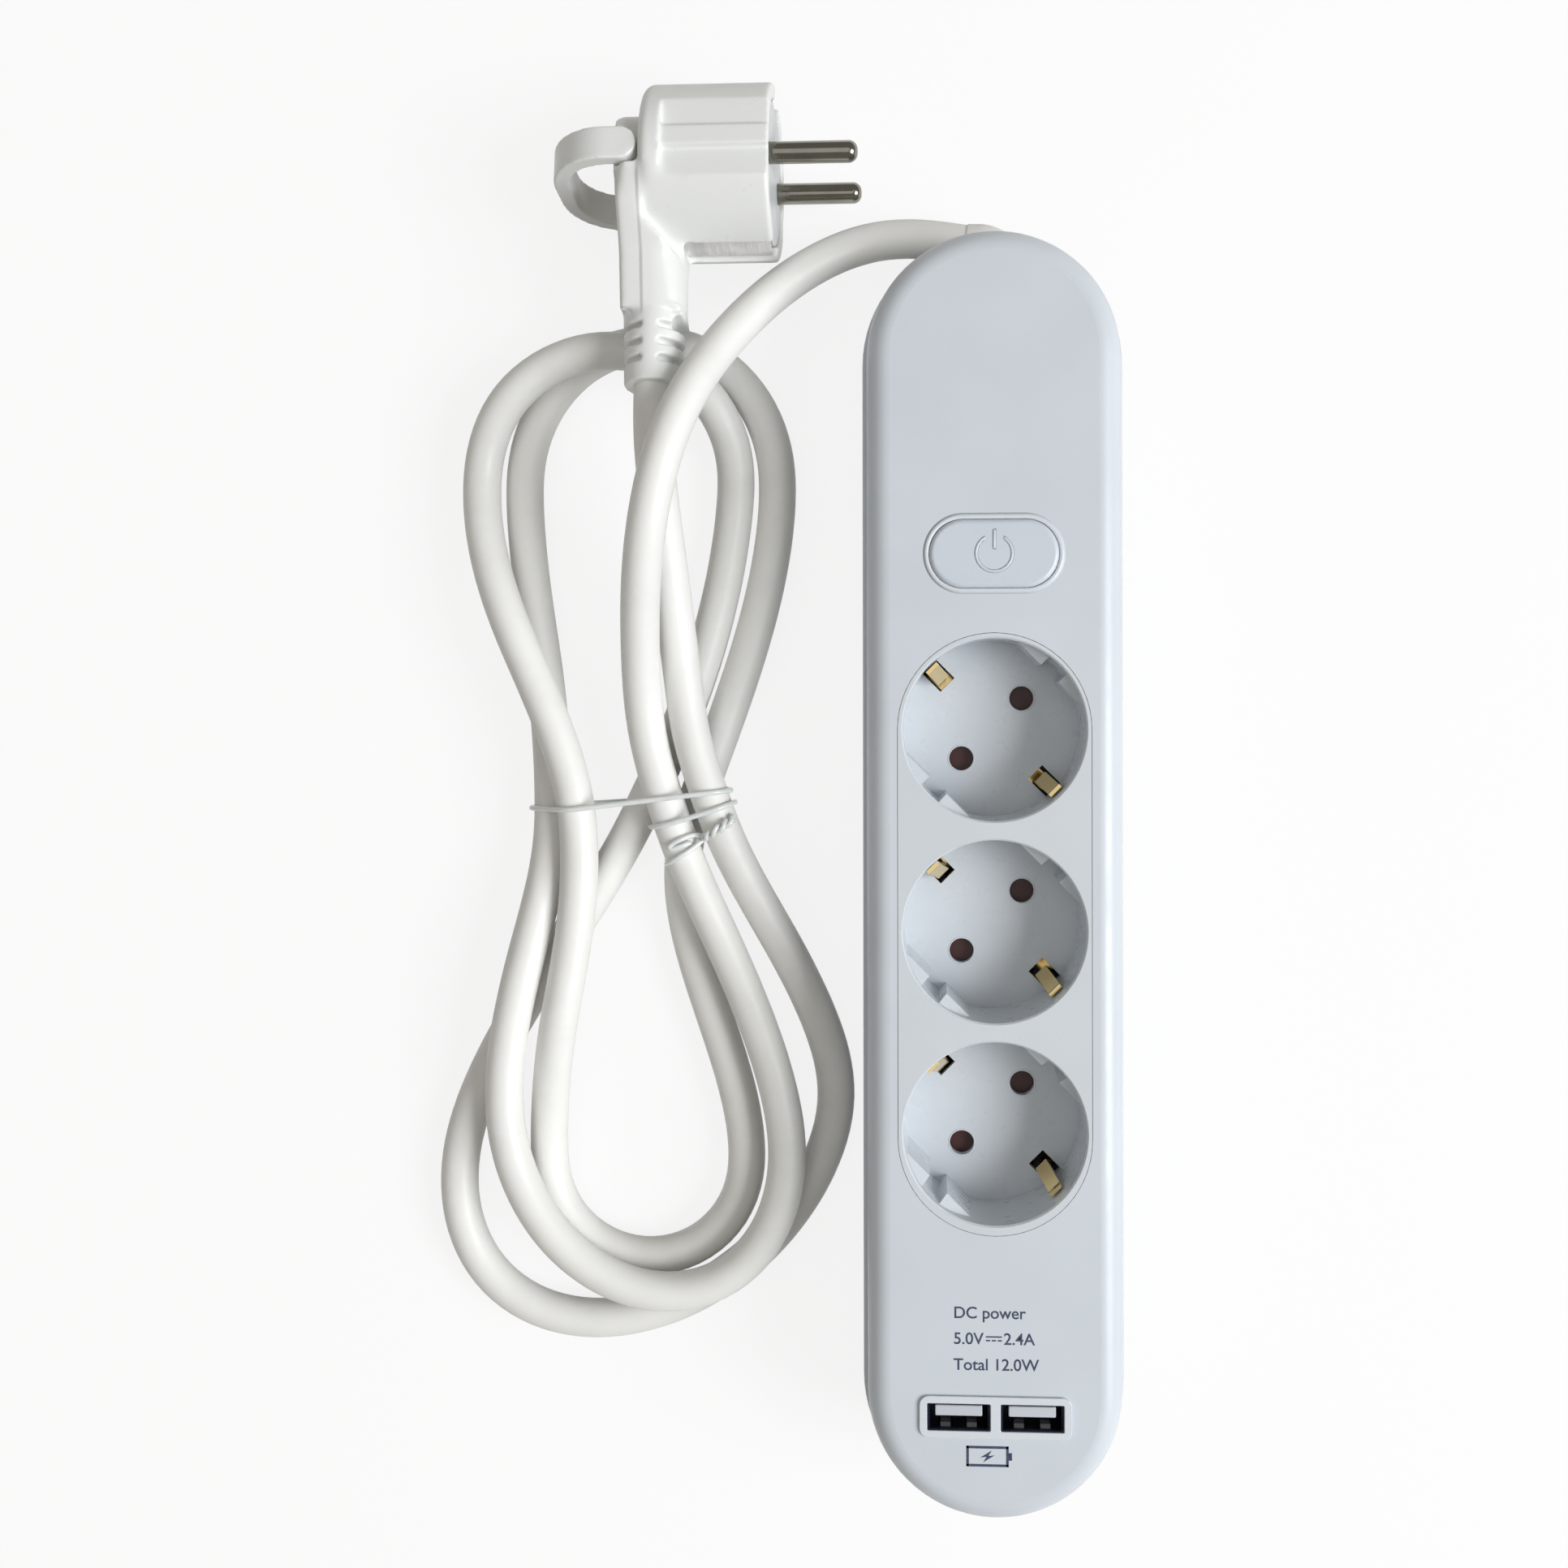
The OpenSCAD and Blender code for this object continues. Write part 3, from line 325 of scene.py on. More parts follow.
@dataclass(frozen=True)
class CordSheath(Finish):
    """Soft sheath drawn over the cores: orange peel, faint lay of the cores and handling marks.

    Lay, peel and grain are given in cells to a metre and as depths in metres.
    """

    marks: Colour = (0.66, 0.66, 0.63)
    smudges: float = 90.0
    smudge_depth: float = 0.22
    gloss_patches: float = 260.0
    gloss_spread: Pair = (0.07, 0.08)
    lay: Pair = (70.0, 0.00022)
    peel: Pair = (900.0, 0.00003)
    grain: Pair = (5200.0, 0.000006)

    def shade(self, tree: ShaderTree) -> None:
        """A pale tone with faint smudges, a slight peel and a dull sheen."""
        smudge = tree.spread(tree.noise(self.smudges, 5.0), 0.0, self.smudge_depth, 0.52, 0.75)
        gloss = tree.noise(self.gloss_patches, 3.0)
        lay = tree.bump(tree.noise(self.lay[0], 1.0), self.lay[1])
        peel = tree.bump(tree.noise(self.peel[0], 2.0), self.peel[1], lay)
        tree.feed(Base_Color=tree.tones(smudge, self.colour, self.marks),
                  Roughness=tree.spread(gloss, self.roughness - self.gloss_spread[0],
                                        self.roughness + self.gloss_spread[1]),
                  Normal=tree.bump(tree.noise(self.grain[0], 1.0), self.grain[1], peel))
        tree.set(Specular_IOR_Level=0.42, IOR=1.5, Sheen_Weight=0.05, Sheen_Roughness=0.5)


@dataclass(frozen=True)
class DrawnMetal(Finish):
    """Metal with tool lines: the lines lie across the axis whose scale is high."""

    lines: Point = (3200.0, 90.0, 90.0)
    line_depth: float = 0.000012
    tone: float = 0.8
    clouds: float = 160.0
    gloss: Pair = (0.7, 1.4)

    def shade(self, tree: ShaderTree) -> None:
        """Full metal with lines in its relief and gloss."""
        lined = tree.noise(1.0, 3.0, tree.stretched(self.lines))
        cloudy = tree.spread(tree.noise(self.clouds, 4.0), 0.0, 1.0)
        tree.feed(Base_Color=tree.tones(cloudy, self.colour, toned(self.colour, self.tone)),
                  Roughness=tree.spread(lined, *(self.roughness * part for part in self.gloss)),
                  Normal=tree.bump(lined, self.line_depth))
        tree.set(Metallic=1.0)


@dataclass(frozen=True)
class ClearPlastic(Finish):
    """Milky clear plastic, drawn round a wire."""

    clearness: float = 0.45
    tone: float = 1.08
    gloss: Pair = (0.7, 1.5)
    skin_depth: float = 0.00003

    def shade(self, tree: ShaderTree) -> None:
        """Part clear, with cloudy streaks and a smooth skin."""
        cloud = tree.spread(tree.noise(420.0, 3.0), 0.0, 1.0)
        streaks = tree.noise(900.0, 2.0)
        tree.feed(Base_Color=tree.tones(cloud, self.colour, toned(self.colour, self.tone)),
                  Roughness=tree.spread(streaks, *(self.roughness * part for part in self.gloss)),
                  Normal=tree.bump(tree.noise(700.0, 2.0), self.skin_depth))
        tree.set(Transmission_Weight=self.clearness, IOR=1.46, Coat_Weight=0.5,
                 Coat_Roughness=0.06)


@dataclass(frozen=True)
class PrintInk(Finish):
    """Pad-printed ink: a thin uneven coat."""

    thinning: float = 0.05
    coat_depth: float = 0.000008
    gloss_spread: float = 0.08

    def shade(self, tree: ShaderTree) -> None:
        """Ink colour that thins a little, with a dry surface."""
        thin = tuple(part + self.thinning for part in self.colour)
        patch = tree.spread(tree.noise(1500.0, 3.0), 0.0, 1.0, 0.4, 0.75)
        gloss = tree.noise(2000.0, 2.0)
        tree.feed(Base_Color=tree.tones(patch, self.colour, thin),
                  Normal=tree.bump(tree.noise(4000.0, 2.0), self.coat_depth),
                  Roughness=tree.spread(gloss, self.roughness - self.gloss_spread,
                                        self.roughness + self.gloss_spread))


@dataclass(frozen=True)
class CircuitBoard(Finish):
    """Green mask over copper tracks."""

    track: Colour = (0.09, 0.32, 0.15)
    track_width: float = 0.035
    track_depth: float = 0.00004
    tone: float = 1.25
    gloss: Pair = (0.25, 0.4)

    def shade(self, tree: ShaderTree) -> None:
        """A grid of tracks, raised under the mask."""
        brick = tree.add("ShaderNodeTexBrick", offset=0.5, squash=1.0)
        settings = {"Scale": 260.0, "Mortar Size": self.track_width,
                    "Color1": (*self.colour, 1.0),
                    "Color2": (*toned(self.colour, self.tone), 1.0),
                    "Mortar": (*self.track, 1.0)}
        for name, value in settings.items():
            brick.inputs[name].default_value = value
        tree.join(tree.place, brick.inputs["Vector"])
        tree.feed(Base_Color=brick.outputs["Color"],
                  Normal=tree.bump(brick.outputs["Fac"], self.track_depth),
                  Roughness=tree.spread(tree.noise(500.0, 2.0), *self.gloss))


class Finishes:
    """Every finish of the product."""

    shell = MouldedPlastic("shell_white", Slot.SHELL, (0.615, 0.658, 0.71), 0.36)
    socket = MouldedPlastic("socket_white", Slot.SOCKET, (0.62, 0.658, 0.702), 0.3,
                            grain_depth=0.000006, gloss_spread=0.05)
    button = MouldedPlastic("button_white", Slot.SHELL, (0.60, 0.65, 0.715), 0.3,
                            grain_depth=0.00001)
    # Lighter than the shell: a painted highlight standing in for the lit chamfer round the button;
    # the port frame shares it.
    bezel = MouldedPlastic("bezel_white_painted_highlight", Slot.SHELL, (0.66, 0.70, 0.75), 0.28, tone=0.98,
                           grain_depth=0.000006)
    shutter = MouldedPlastic("shutter_maroon", Slot.SHUTTER, (0.055, 0.012, 0.011), 0.42)
    plug = MouldedPlastic("plug_white", Slot.PLUG, (0.83, 0.84, 0.83), 0.33, tone=0.97,
                          grain_depth=0.000008)
    front = MouldedPlastic("plug_front_grey", Slot.PLUG, (0.62, 0.64, 0.66), 0.4)
    cord = CordSheath("cord_white", Slot.CORD, (0.85, 0.845, 0.825), 0.42)
    tie = ClearPlastic("tie_clear", Slot.TIE, (0.84, 0.87, 0.87), 0.18, clearness=0.2)
    brass = DrawnMetal("contact_brass", Slot.BRASS, (0.72, 0.50, 0.20), 0.24,
                       lines=(140.0, 140.0, 2600.0))
    # Darker than bare nickel: the pins' own tone with painted dark reflections.
    nickel = DrawnMetal("pin_nickel_painted_dark_reflection", Slot.NICKEL, (0.31, 0.30, 0.26), 0.15)
    tin = DrawnMetal("contact_tin", Slot.NICKEL, (0.78, 0.77, 0.75), 0.32)
    steel = DrawnMetal("plated_steel", Slot.ZINC, (0.58, 0.58, 0.58), 0.3,
                       lines=(150.0, 2200.0, 150.0))
    shield = DrawnMetal("port_shield", Slot.ZINC, (0.055, 0.06, 0.10), 0.36,
                        lines=(2200.0, 150.0, 150.0))
    spring = DrawnMetal("port_spring", Slot.ZINC, (0.22, 0.23, 0.27), 0.3,
                        lines=(150.0, 2200.0, 150.0))
    dark = MouldedPlastic("switch_black", Slot.DARK, (0.03, 0.03, 0.035), 0.45)
    tongue = MouldedPlastic("tongue_white", Slot.SOCKET, (0.56, 0.59, 0.65), 0.4)
    board = CircuitBoard("charging_board", Slot.BOARD, (0.02, 0.12, 0.05), 0.32)
    sleeve = MouldedPlastic("capacitor_blue", Slot.SLEEVE, (0.03, 0.055, 0.16), 0.25)
    tape = MouldedPlastic("winding_tape", Slot.DARK, (0.55, 0.42, 0.05), 0.35)
    brown = MouldedPlastic("core_brown", Slot.BROWN, (0.09, 0.03, 0.012), 0.4)
    blue = MouldedPlastic("core_blue", Slot.BLUE, (0.02, 0.08, 0.35), 0.4)
    green = MouldedPlastic("core_green_yellow", Slot.GREEN, (0.22, 0.4, 0.03), 0.4, tone=0.7,
                           mottle=180.0)
    ink = PrintInk("navy_ink", Slot.DARK, (0.035, 0.045, 0.10), 0.5)


# ---------------------------------------------------------------- mesh building

def hermite(start: float, slope: float, end: float, end_slope: float, t: float) -> float:
    """The cubic between two values that leaves and arrives with those slopes.

    Args:
        start: value at t = 0.
        slope: slope at t = 0.
        end: value at t = 1.
        end_slope: slope at t = 1.
        t: place between them.

    Returns:
        The value at t.
    """
    return (start * (1 + 2 * t) * (1 - t) ** 2 + slope * t * (1 - t) ** 2
            + end * t * t * (3 - 2 * t) + end_slope * t * t * (t - 1))


def rounded_course(points: Sequence[Sequence[float]], steps: int) -> list[Vector]:
    """The smooth course through points.

    Args:
        points: the points, in order.
        steps: stretches between one point and the next.

    Returns:
        The course, from the first point to the last.
    """
    last = len(points) - 1
    course = []
    for i in range(last):
        a, b, c, d = (Vector(points[k]) for k in (max(i - 1, 0), i, i + 1, min(i + 2, last)))
        for k in range(steps):
            t = k / steps
            course.append(Vector([hermite(b[n], (c[n] - a[n]) / 2, c[n], (d[n] - b[n]) / 2, t)
                                  for n in range(3)]))
    return course + [Vector(points[last])]


def run_length(course: Sequence[Vector]) -> float:
    """The length of a course."""
    return sum((b - a).length for a, b in zip(course, course[1:]))


def even_course(course: Sequence[Vector], step: float) -> list[Vector]:
    """The same course with its points an even step apart.

    Args:
        course: the course.
        step: the distance wanted between points.

    Returns:
        The new course, with both ends kept.
    """
    count = max(2, round(run_length(course) / step))
    gap = run_length(course) / count
    placed, walked, target = [course[0].copy()], 0.0, gap
    for a, b in zip(course, course[1:]):
        stretch = (b - a).length
        while len(placed) < count and walked + stretch >= target - TINY:
            placed.append(a.lerp(b, (target - walked) / stretch))
            target += gap
        walked += stretch
    return placed + [course[-1].copy()]


def eased_course(course: Sequence[Vector], rounds: int) -> list[Vector]:
    """A course whose kinks are eased; both ends and their directions stay.

    Args:
        course: the course.
        rounds: how often each point moves halfway to its neighbours' middle.

    Returns:
        The eased course.
    """
    points = [point.copy() for point in course]
    for _ in range(rounds):
        points = points[:2] + [b * 0.5 + (a + c) * 0.25 for a, b, c
                               in zip(points[1:-3], points[2:-2], points[3:-1])] + points[-2:]
    return points


def make_piece(
    name: str, points: Iterable[Sequence[float]], faces: Iterable[Sequence[int]],
    finish: Finish, smooth: bool = True,
) -> bpy.types.Object:
    """Makes a mesh piece in the scene.

    Args:
        name: the piece's name.
        points: its points in millimetres.
        faces: its faces, as point numbers.
        finish: what it is finished in.
        smooth: whether its faces are shaded as one surface.

    Returns:
        The new object.
    """
    mesh = bpy.data.meshes.new(name)
    mesh.from_pydata([[part * MM for part in point] for point in points], [], list(faces))
    mesh.polygons.foreach_set("use_smooth", [smooth] * len(mesh.polygons))
    mesh.materials.append(finish.material())
    mesh.validate()
    mesh.update()
    piece = bpy.data.objects.new(name, mesh)
    bpy.context.scene.collection.objects.link(piece)
    return piece


def mesh_of(data: bpy.types.ID, name: str, change: Callable[[bpy.types.Object], None]
            | None = None) -> bpy.types.Mesh:
    """Turns a curve, text or mesh into a mesh with its modifiers applied.

    Args:
        data: the curve, text or mesh.
        name: a name for the passing object.
        change: adds modifiers to that object, if there are any.

    Returns:
        The finished mesh.
    """
    holder = bpy.data.objects.new(name, data)
    bpy.context.scene.collection.objects.link(holder)
    if change is not None:
        change(holder)
    bpy.context.view_layer.update()
    ready = holder.evaluated_get(bpy.context.evaluated_depsgraph_get())
    mesh = bpy.data.meshes.new_from_object(ready)
    bpy.data.objects.remove(holder)
    return mesh


def piece_of(
    mesh: bpy.types.Mesh, name: str, finish: Finish, smooth: bool = False
) -> bpy.types.Object:
    """Puts a finished mesh in the scene.

    Args:
        mesh: the mesh.
        name: the piece's name.
        finish: what it is finished in.
        smooth: whether its faces are shaded as one surface.

    Returns:
        The new object.
    """
    mesh.name = name
    mesh.materials.clear()
    mesh.materials.append(finish.material())
    mesh.polygons.foreach_set("use_smooth", [smooth] * len(mesh.polygons))
    piece = bpy.data.objects.new(name, mesh)
    bpy.context.scene.collection.objects.link(piece)
    return piece


def mounted(
    piece: bpy.types.Object, body: Body, replaced: Sequence[str] = ()
) -> bpy.types.Object:
    """Puts a piece on its body and the nodes that it stands for.

    Args:
        piece: the piece.
        body: the body that it rides on.
        replaced: the nodes that it stands for.

    Returns:
        The same piece.
    """
    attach(piece, body.value)
    if replaced:
        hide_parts(*replaced)
    LOG.info("%s: %d faces, rides on %s", piece.name, len(piece.data.polygons), body.value)
    return piece


def lofted(rows: Sequence[Sequence[Vector]], closed: bool = False) -> Shape:
    """Lays a skin over outlines of equally many points.

    Args:
        rows: the outlines, in order; the skin faces out where they run counter-clockwise, seen
            from the end that they go to.
        closed: whether the last one is joined to the first; otherwise both get a cap.

    Returns:
        The points and faces.
    """
    total, count = len(rows), len(rows[0])
    faces: list[tuple[int, ...]] = []
    for i in range(total if closed else total - 1):
        low, high = i * count, (i + 1) % total * count
        faces += [(low + k, low + (k + 1) % count, high + (k + 1) % count, high + k)
                  for k in range(count)]
    if not closed:
        faces += [tuple(reversed(range(count))), tuple(range((total - 1) * count, total * count))]
    return [point for row in rows for point in row], faces


@dataclass
class Sweep:
    """A round section carried along a course, with a radius for each of its points."""

    course: list[Vector]
    radii: list[float]
    sides: int
    closed: bool = False

    def rings(self) -> list[list[Vector]]:
        """The rings, carried along without twist."""
        count = len(self.course)
        directions = []
        for i in range(count):
            if self.closed:
                step = self.course[(i + 1) % count] - self.course[i - 1]
            else:
                step = self.course[min(i + 1, count - 1)] - self.course[max(i - 1, 0)]
            if step.length < TINY:
                step = directions[-1] if directions else UP
            directions.append(step.normalized())
        aside = directions[0].orthogonal().normalized()
        turns = [math.tau * k / self.sides for k in range(self.sides)]
        rings = []
        for centre, ahead, radius in zip(self.course, directions, self.radii):
            aside = (aside - ahead * aside.dot(ahead)).normalized()
            across = ahead.cross(aside)
            rings.append([centre + (aside * math.cos(turn) + across * math.sin(turn)) * radius
                          for turn in turns])
        return rings

    def shape(self) -> Shape:
        """The points and faces of the swept body, with both ends closed unless it is a loop."""
        return lofted(self.rings(), self.closed)


def joined(shapes: Iterable[Shape]) -> Shape:
    """Puts several shapes into one.

    Args:
        shapes: the points and faces of each.

    Returns:
        The points and faces of them all.
    """
    points: list[Vector] = []
    faces: list[tuple[int, ...]] = []
    for some_points, some_faces in shapes:
        start = len(points)
        points.extend(some_points)
        faces.extend(tuple(start + k for k in face) for face in some_faces)
    return points, faces


def turned(profile: Sequence[Pair], centre: Sequence[float], sides: int = 48) -> Shape:
    """A closed profile turned about an upright axis.

    Args:
        profile: radius and height of each corner, clockwise with the axis at the left.
        centre: where radius and height are measured from.
        sides: how many facets go round.

    Returns:
        The points and faces.
    """
    base = Vector(centre)
    turns = [math.tau * k / sides for k in range(sides)]
    return lofted([[base + Vector((r * math.cos(turn), r * math.sin(turn), z))
                    for r, z in profile] for turn in turns], closed=True)


def raised(outline: Iterable[Pair], height: float) -> list[Vector]:
    """An outline at a height."""
    return [Vector((x, y, height)) for x, y in outline]


def plate(outline: Sequence[Pair], low: float, high: float) -> Shape:
    """A flat plate of that outline between two heights."""
    return lofted([raised(outline, low), raised(outline, high)])


def rounded_box(x: float, y: float, width: float, height: float, corner: float,
                steps: int = 6) -> list[Pair]:
    """The outline of a box with round corners.

    Args:
        x: its middle's x.
        y: its middle's y.
        width: its size along X.
        height: its size along Y.
        corner: the radius of its corners.
        steps: stretches that make up a corner.

    Returns:
        The outline, counter-clockwise.
    """
    outline = []
    for quarter, (sx, sy) in enumerate(((1, 1), (-1, 1), (-1, -1), (1, -1))):
        for k in range(steps + 1):
            turn = math.tau / 4 * (quarter + k / steps)
            outline.append((x + sx * (width / 2 - corner) + corner * math.cos(turn),
                            y + sy * (height / 2 - corner) + corner * math.sin(turn)))
    return outline


def fitted(
    name: str, shapes: Iterable[Shape], finish: Finish, replaced: Sequence[str] = (),
    smooth: bool = True,
) -> bpy.types.Object:
    """Makes one piece of several shapes and puts it on the strip.

    Args:
        name: the piece's name.
        shapes: the points and faces of each.
        finish: what it is finished in.
        replaced: the nodes that it stands for.
        smooth: whether its faces are shaded as one surface.

    Returns:
        The new object.
    """
    piece = make_piece(name, *joined(shapes), finish, smooth)
    return mounted(piece, Body.STRIP, replaced)


# ---------------------------------------------------------------- camera and room

@dataclass
class StudioCamera:
    """The camera above the product, in millimetres and radians."""

    place: Point = (-13.12, 36.65, 368.2)
    tilt: Point = (0.0003, 0.05, -0.0015)
    lens: float = 35.35
    sensor: float = 36.0
    shift: Pair = (-0.0456, -0.0518)
    clip: Pair = (0.01, 50.0)

    def build(self) -> bpy.types.Object:
        """Makes the camera and gives it to the scene."""
        data = bpy.data.cameras.new("studio_camera")
        data.lens, data.sensor_width = self.lens, self.sensor
        data.shift_x, data.shift_y = self.shift
        data.clip_start, data.clip_end = self.clip
        camera = bpy.data.objects.new("studio_camera", data)
        camera.location = Vector(self.place) * MM
        camera.rotation_euler = self.tilt
        bpy.context.scene.collection.objects.link(camera)
        bpy.context.scene.camera = camera
        return camera


@dataclass(frozen=True)
class Softbox:
    """A square lamp that looks at the middle of the product; place and size in metres."""

    name: str
    place: Point
    size: float
    watts: float
    colour: Colour = (1.0, 1.0, 1.0)
    aim: Point = (-0.03, 0.02, 0.02)

    def build(self) -> None:
        """Makes the lamp and turns it to the product."""
        data = bpy.data.lights.new(self.name, "AREA")
        data.shape, data.size = "SQUARE", self.size
        data.energy, data.color = self.watts, self.colour
        lamp = bpy.data.objects.new(self.name, data)
        lamp.location = self.place
        way = Vector(self.aim) - Vector(self.place)
        lamp.rotation_euler = way.to_track_quat("-Z", "Y").to_euler()
        bpy.context.scene.collection.objects.link(lamp)


@dataclass
class Studio:
    """The floor, the room's light and the lamps; the floor's sizes are in metres."""

    floor_radius: float = 6.0
    floor_sides: int = 64
    floor_drop: float = 0.0006
    floor_depth: float = 0.01
    floor_colour: Colour = (0.84, 0.84, 0.84)
    floor_bounce: Colour = (0.40, 0.385, 0.35)
    floor_white: float = 0.85
    room_colour: Colour = (1.0, 0.955, 0.87)
    room_strength: float = 0.28
    lamps: tuple[Softbox, ...] = (
        Softbox("window_light", (1.1, -0.22, 1.0), 0.85, 23.2, (0.965, 0.985, 1.0)),
        Softbox("ceiling_light", (-0.3, 0.1, 1.6), 1.2, 3.0, (0.98, 0.99, 1.0)),
    )

    def build(self) -> None:
        """Makes the floor, the room and the lamps."""
        self._floor()
        self._room()
        for lamp in self.lamps:
            lamp.build()
        bpy.context.scene.view_settings.view_transform = "Standard"

    @staticmethod
    def _seen(tree: bpy.types.NodeTree) -> bpy.types.NodeSocket:
        """1 for rays that look at the background, straight, in metal or through clear plastic."""
        path = tree.nodes.new("ShaderNodeLightPath")
        total = path.outputs["Is Camera Ray"]
        for name in ("Is Glossy Ray", "Is Transmission Ray"):
            node = tree.nodes.new("ShaderNodeMath")
            node.operation = "MAXIMUM"
            tree.links.new(total, node.inputs[0])
            tree.links.new(path.outputs[name], node.inputs[1])
            total = node.outputs[0]
        return total

    def _floor(self) -> None:
        """A pale matt disc that keeps the shadow and looks white where it is lit."""
        turns = [math.tau * k / self.floor_sides for k in range(self.floor_sides)]
        outline = [(self.floor_radius * math.cos(turn), self.floor_radius * math.sin(turn))
                   for turn in turns]
        paper = ShaderTree("floor_paper")
        paper.set(Roughness=0.9, Specular_IOR_Level=0.1)
        seen = self._seen(paper.tree)
        paper.feed(Base_Color=paper.tones(seen, self.floor_bounce, self.floor_colour))
        white = paper.add("ShaderNodeEmission")
        mix = paper.add("ShaderNodeMixShader")
        share = paper.add("ShaderNodeMath", operation="MULTIPLY")
        share.inputs[1].default_value = self.floor_white
        paper.join(seen, share.inputs[0])
        paper.join(share.outputs[0], mix.inputs["Fac"])
        paper.join(paper.shader.outputs["BSDF"], mix.inputs[1])
        paper.join(white.outputs["Emission"], mix.inputs[2])
        paper.join(mix.outputs["Shader"], paper.output.inputs["Surface"])
        mesh = bpy.data.meshes.new("floor")
        points, faces = plate(outline, -self.floor_drop - self.floor_depth, -self.floor_drop)
        mesh.from_pydata(points, [], faces)
        mesh.materials.append(paper.material)
        floor = bpy.data.objects.new("floor", mesh)
        bpy.context.scene.collection.objects.link(floor)
        floor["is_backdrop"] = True

    def _room(self) -> None:
        """Even light from all sides, seen as white."""
        world = bpy.data.worlds.new("room")
        bpy.context.scene.world = world
        world.use_nodes = True
        tree = world.node_tree
        tree.nodes.clear()
        output = tree.nodes.new("ShaderNodeOutputWorld")
        lit, white = (tree.nodes.new("ShaderNodeBackground") for _ in range(2))
        lit.inputs["Color"].default_value = (*self.room_colour, 1.0)
        lit.inputs["Strength"].default_value = self.room_strength
        white.inputs["Color"].default_value = (1.0, 1.0, 1.0, 1.0)
        mix = tree.nodes.new("ShaderNodeMixShader")
        path = tree.nodes.new("ShaderNodeLightPath")
        tree.links.new(path.outputs["Is Camera Ray"], mix.inputs["Fac"])
        tree.links.new(lit.outputs[0], mix.inputs[1])
        tree.links.new(white.outputs[0], mix.inputs[2])
        tree.links.new(mix.outputs[0], output.inputs["Surface"])


# ---------------------------------------------------------------- cord

@dataclass(frozen=True)
class Strand:
    """Where the cord crosses the waist: its x, its layer and its lean, x over y."""

    x: float
    layer: float
    lean: float

    def direction(self) -> Vector:
        """The way that it runs, towards +Y."""
        return Vector((self.lean, 1.0, 0.0)).normalized()


@dataclass(frozen=True)
class Bow:
    """One loop between two crossings of the waist, in millimetres and layers.

    Its end lies off the middle by that much.
    """

    near_x: float
    far_x: float
    wide_y: float
    end_y: float
    layers: tuple[float, ...]
    off: float = 0.0


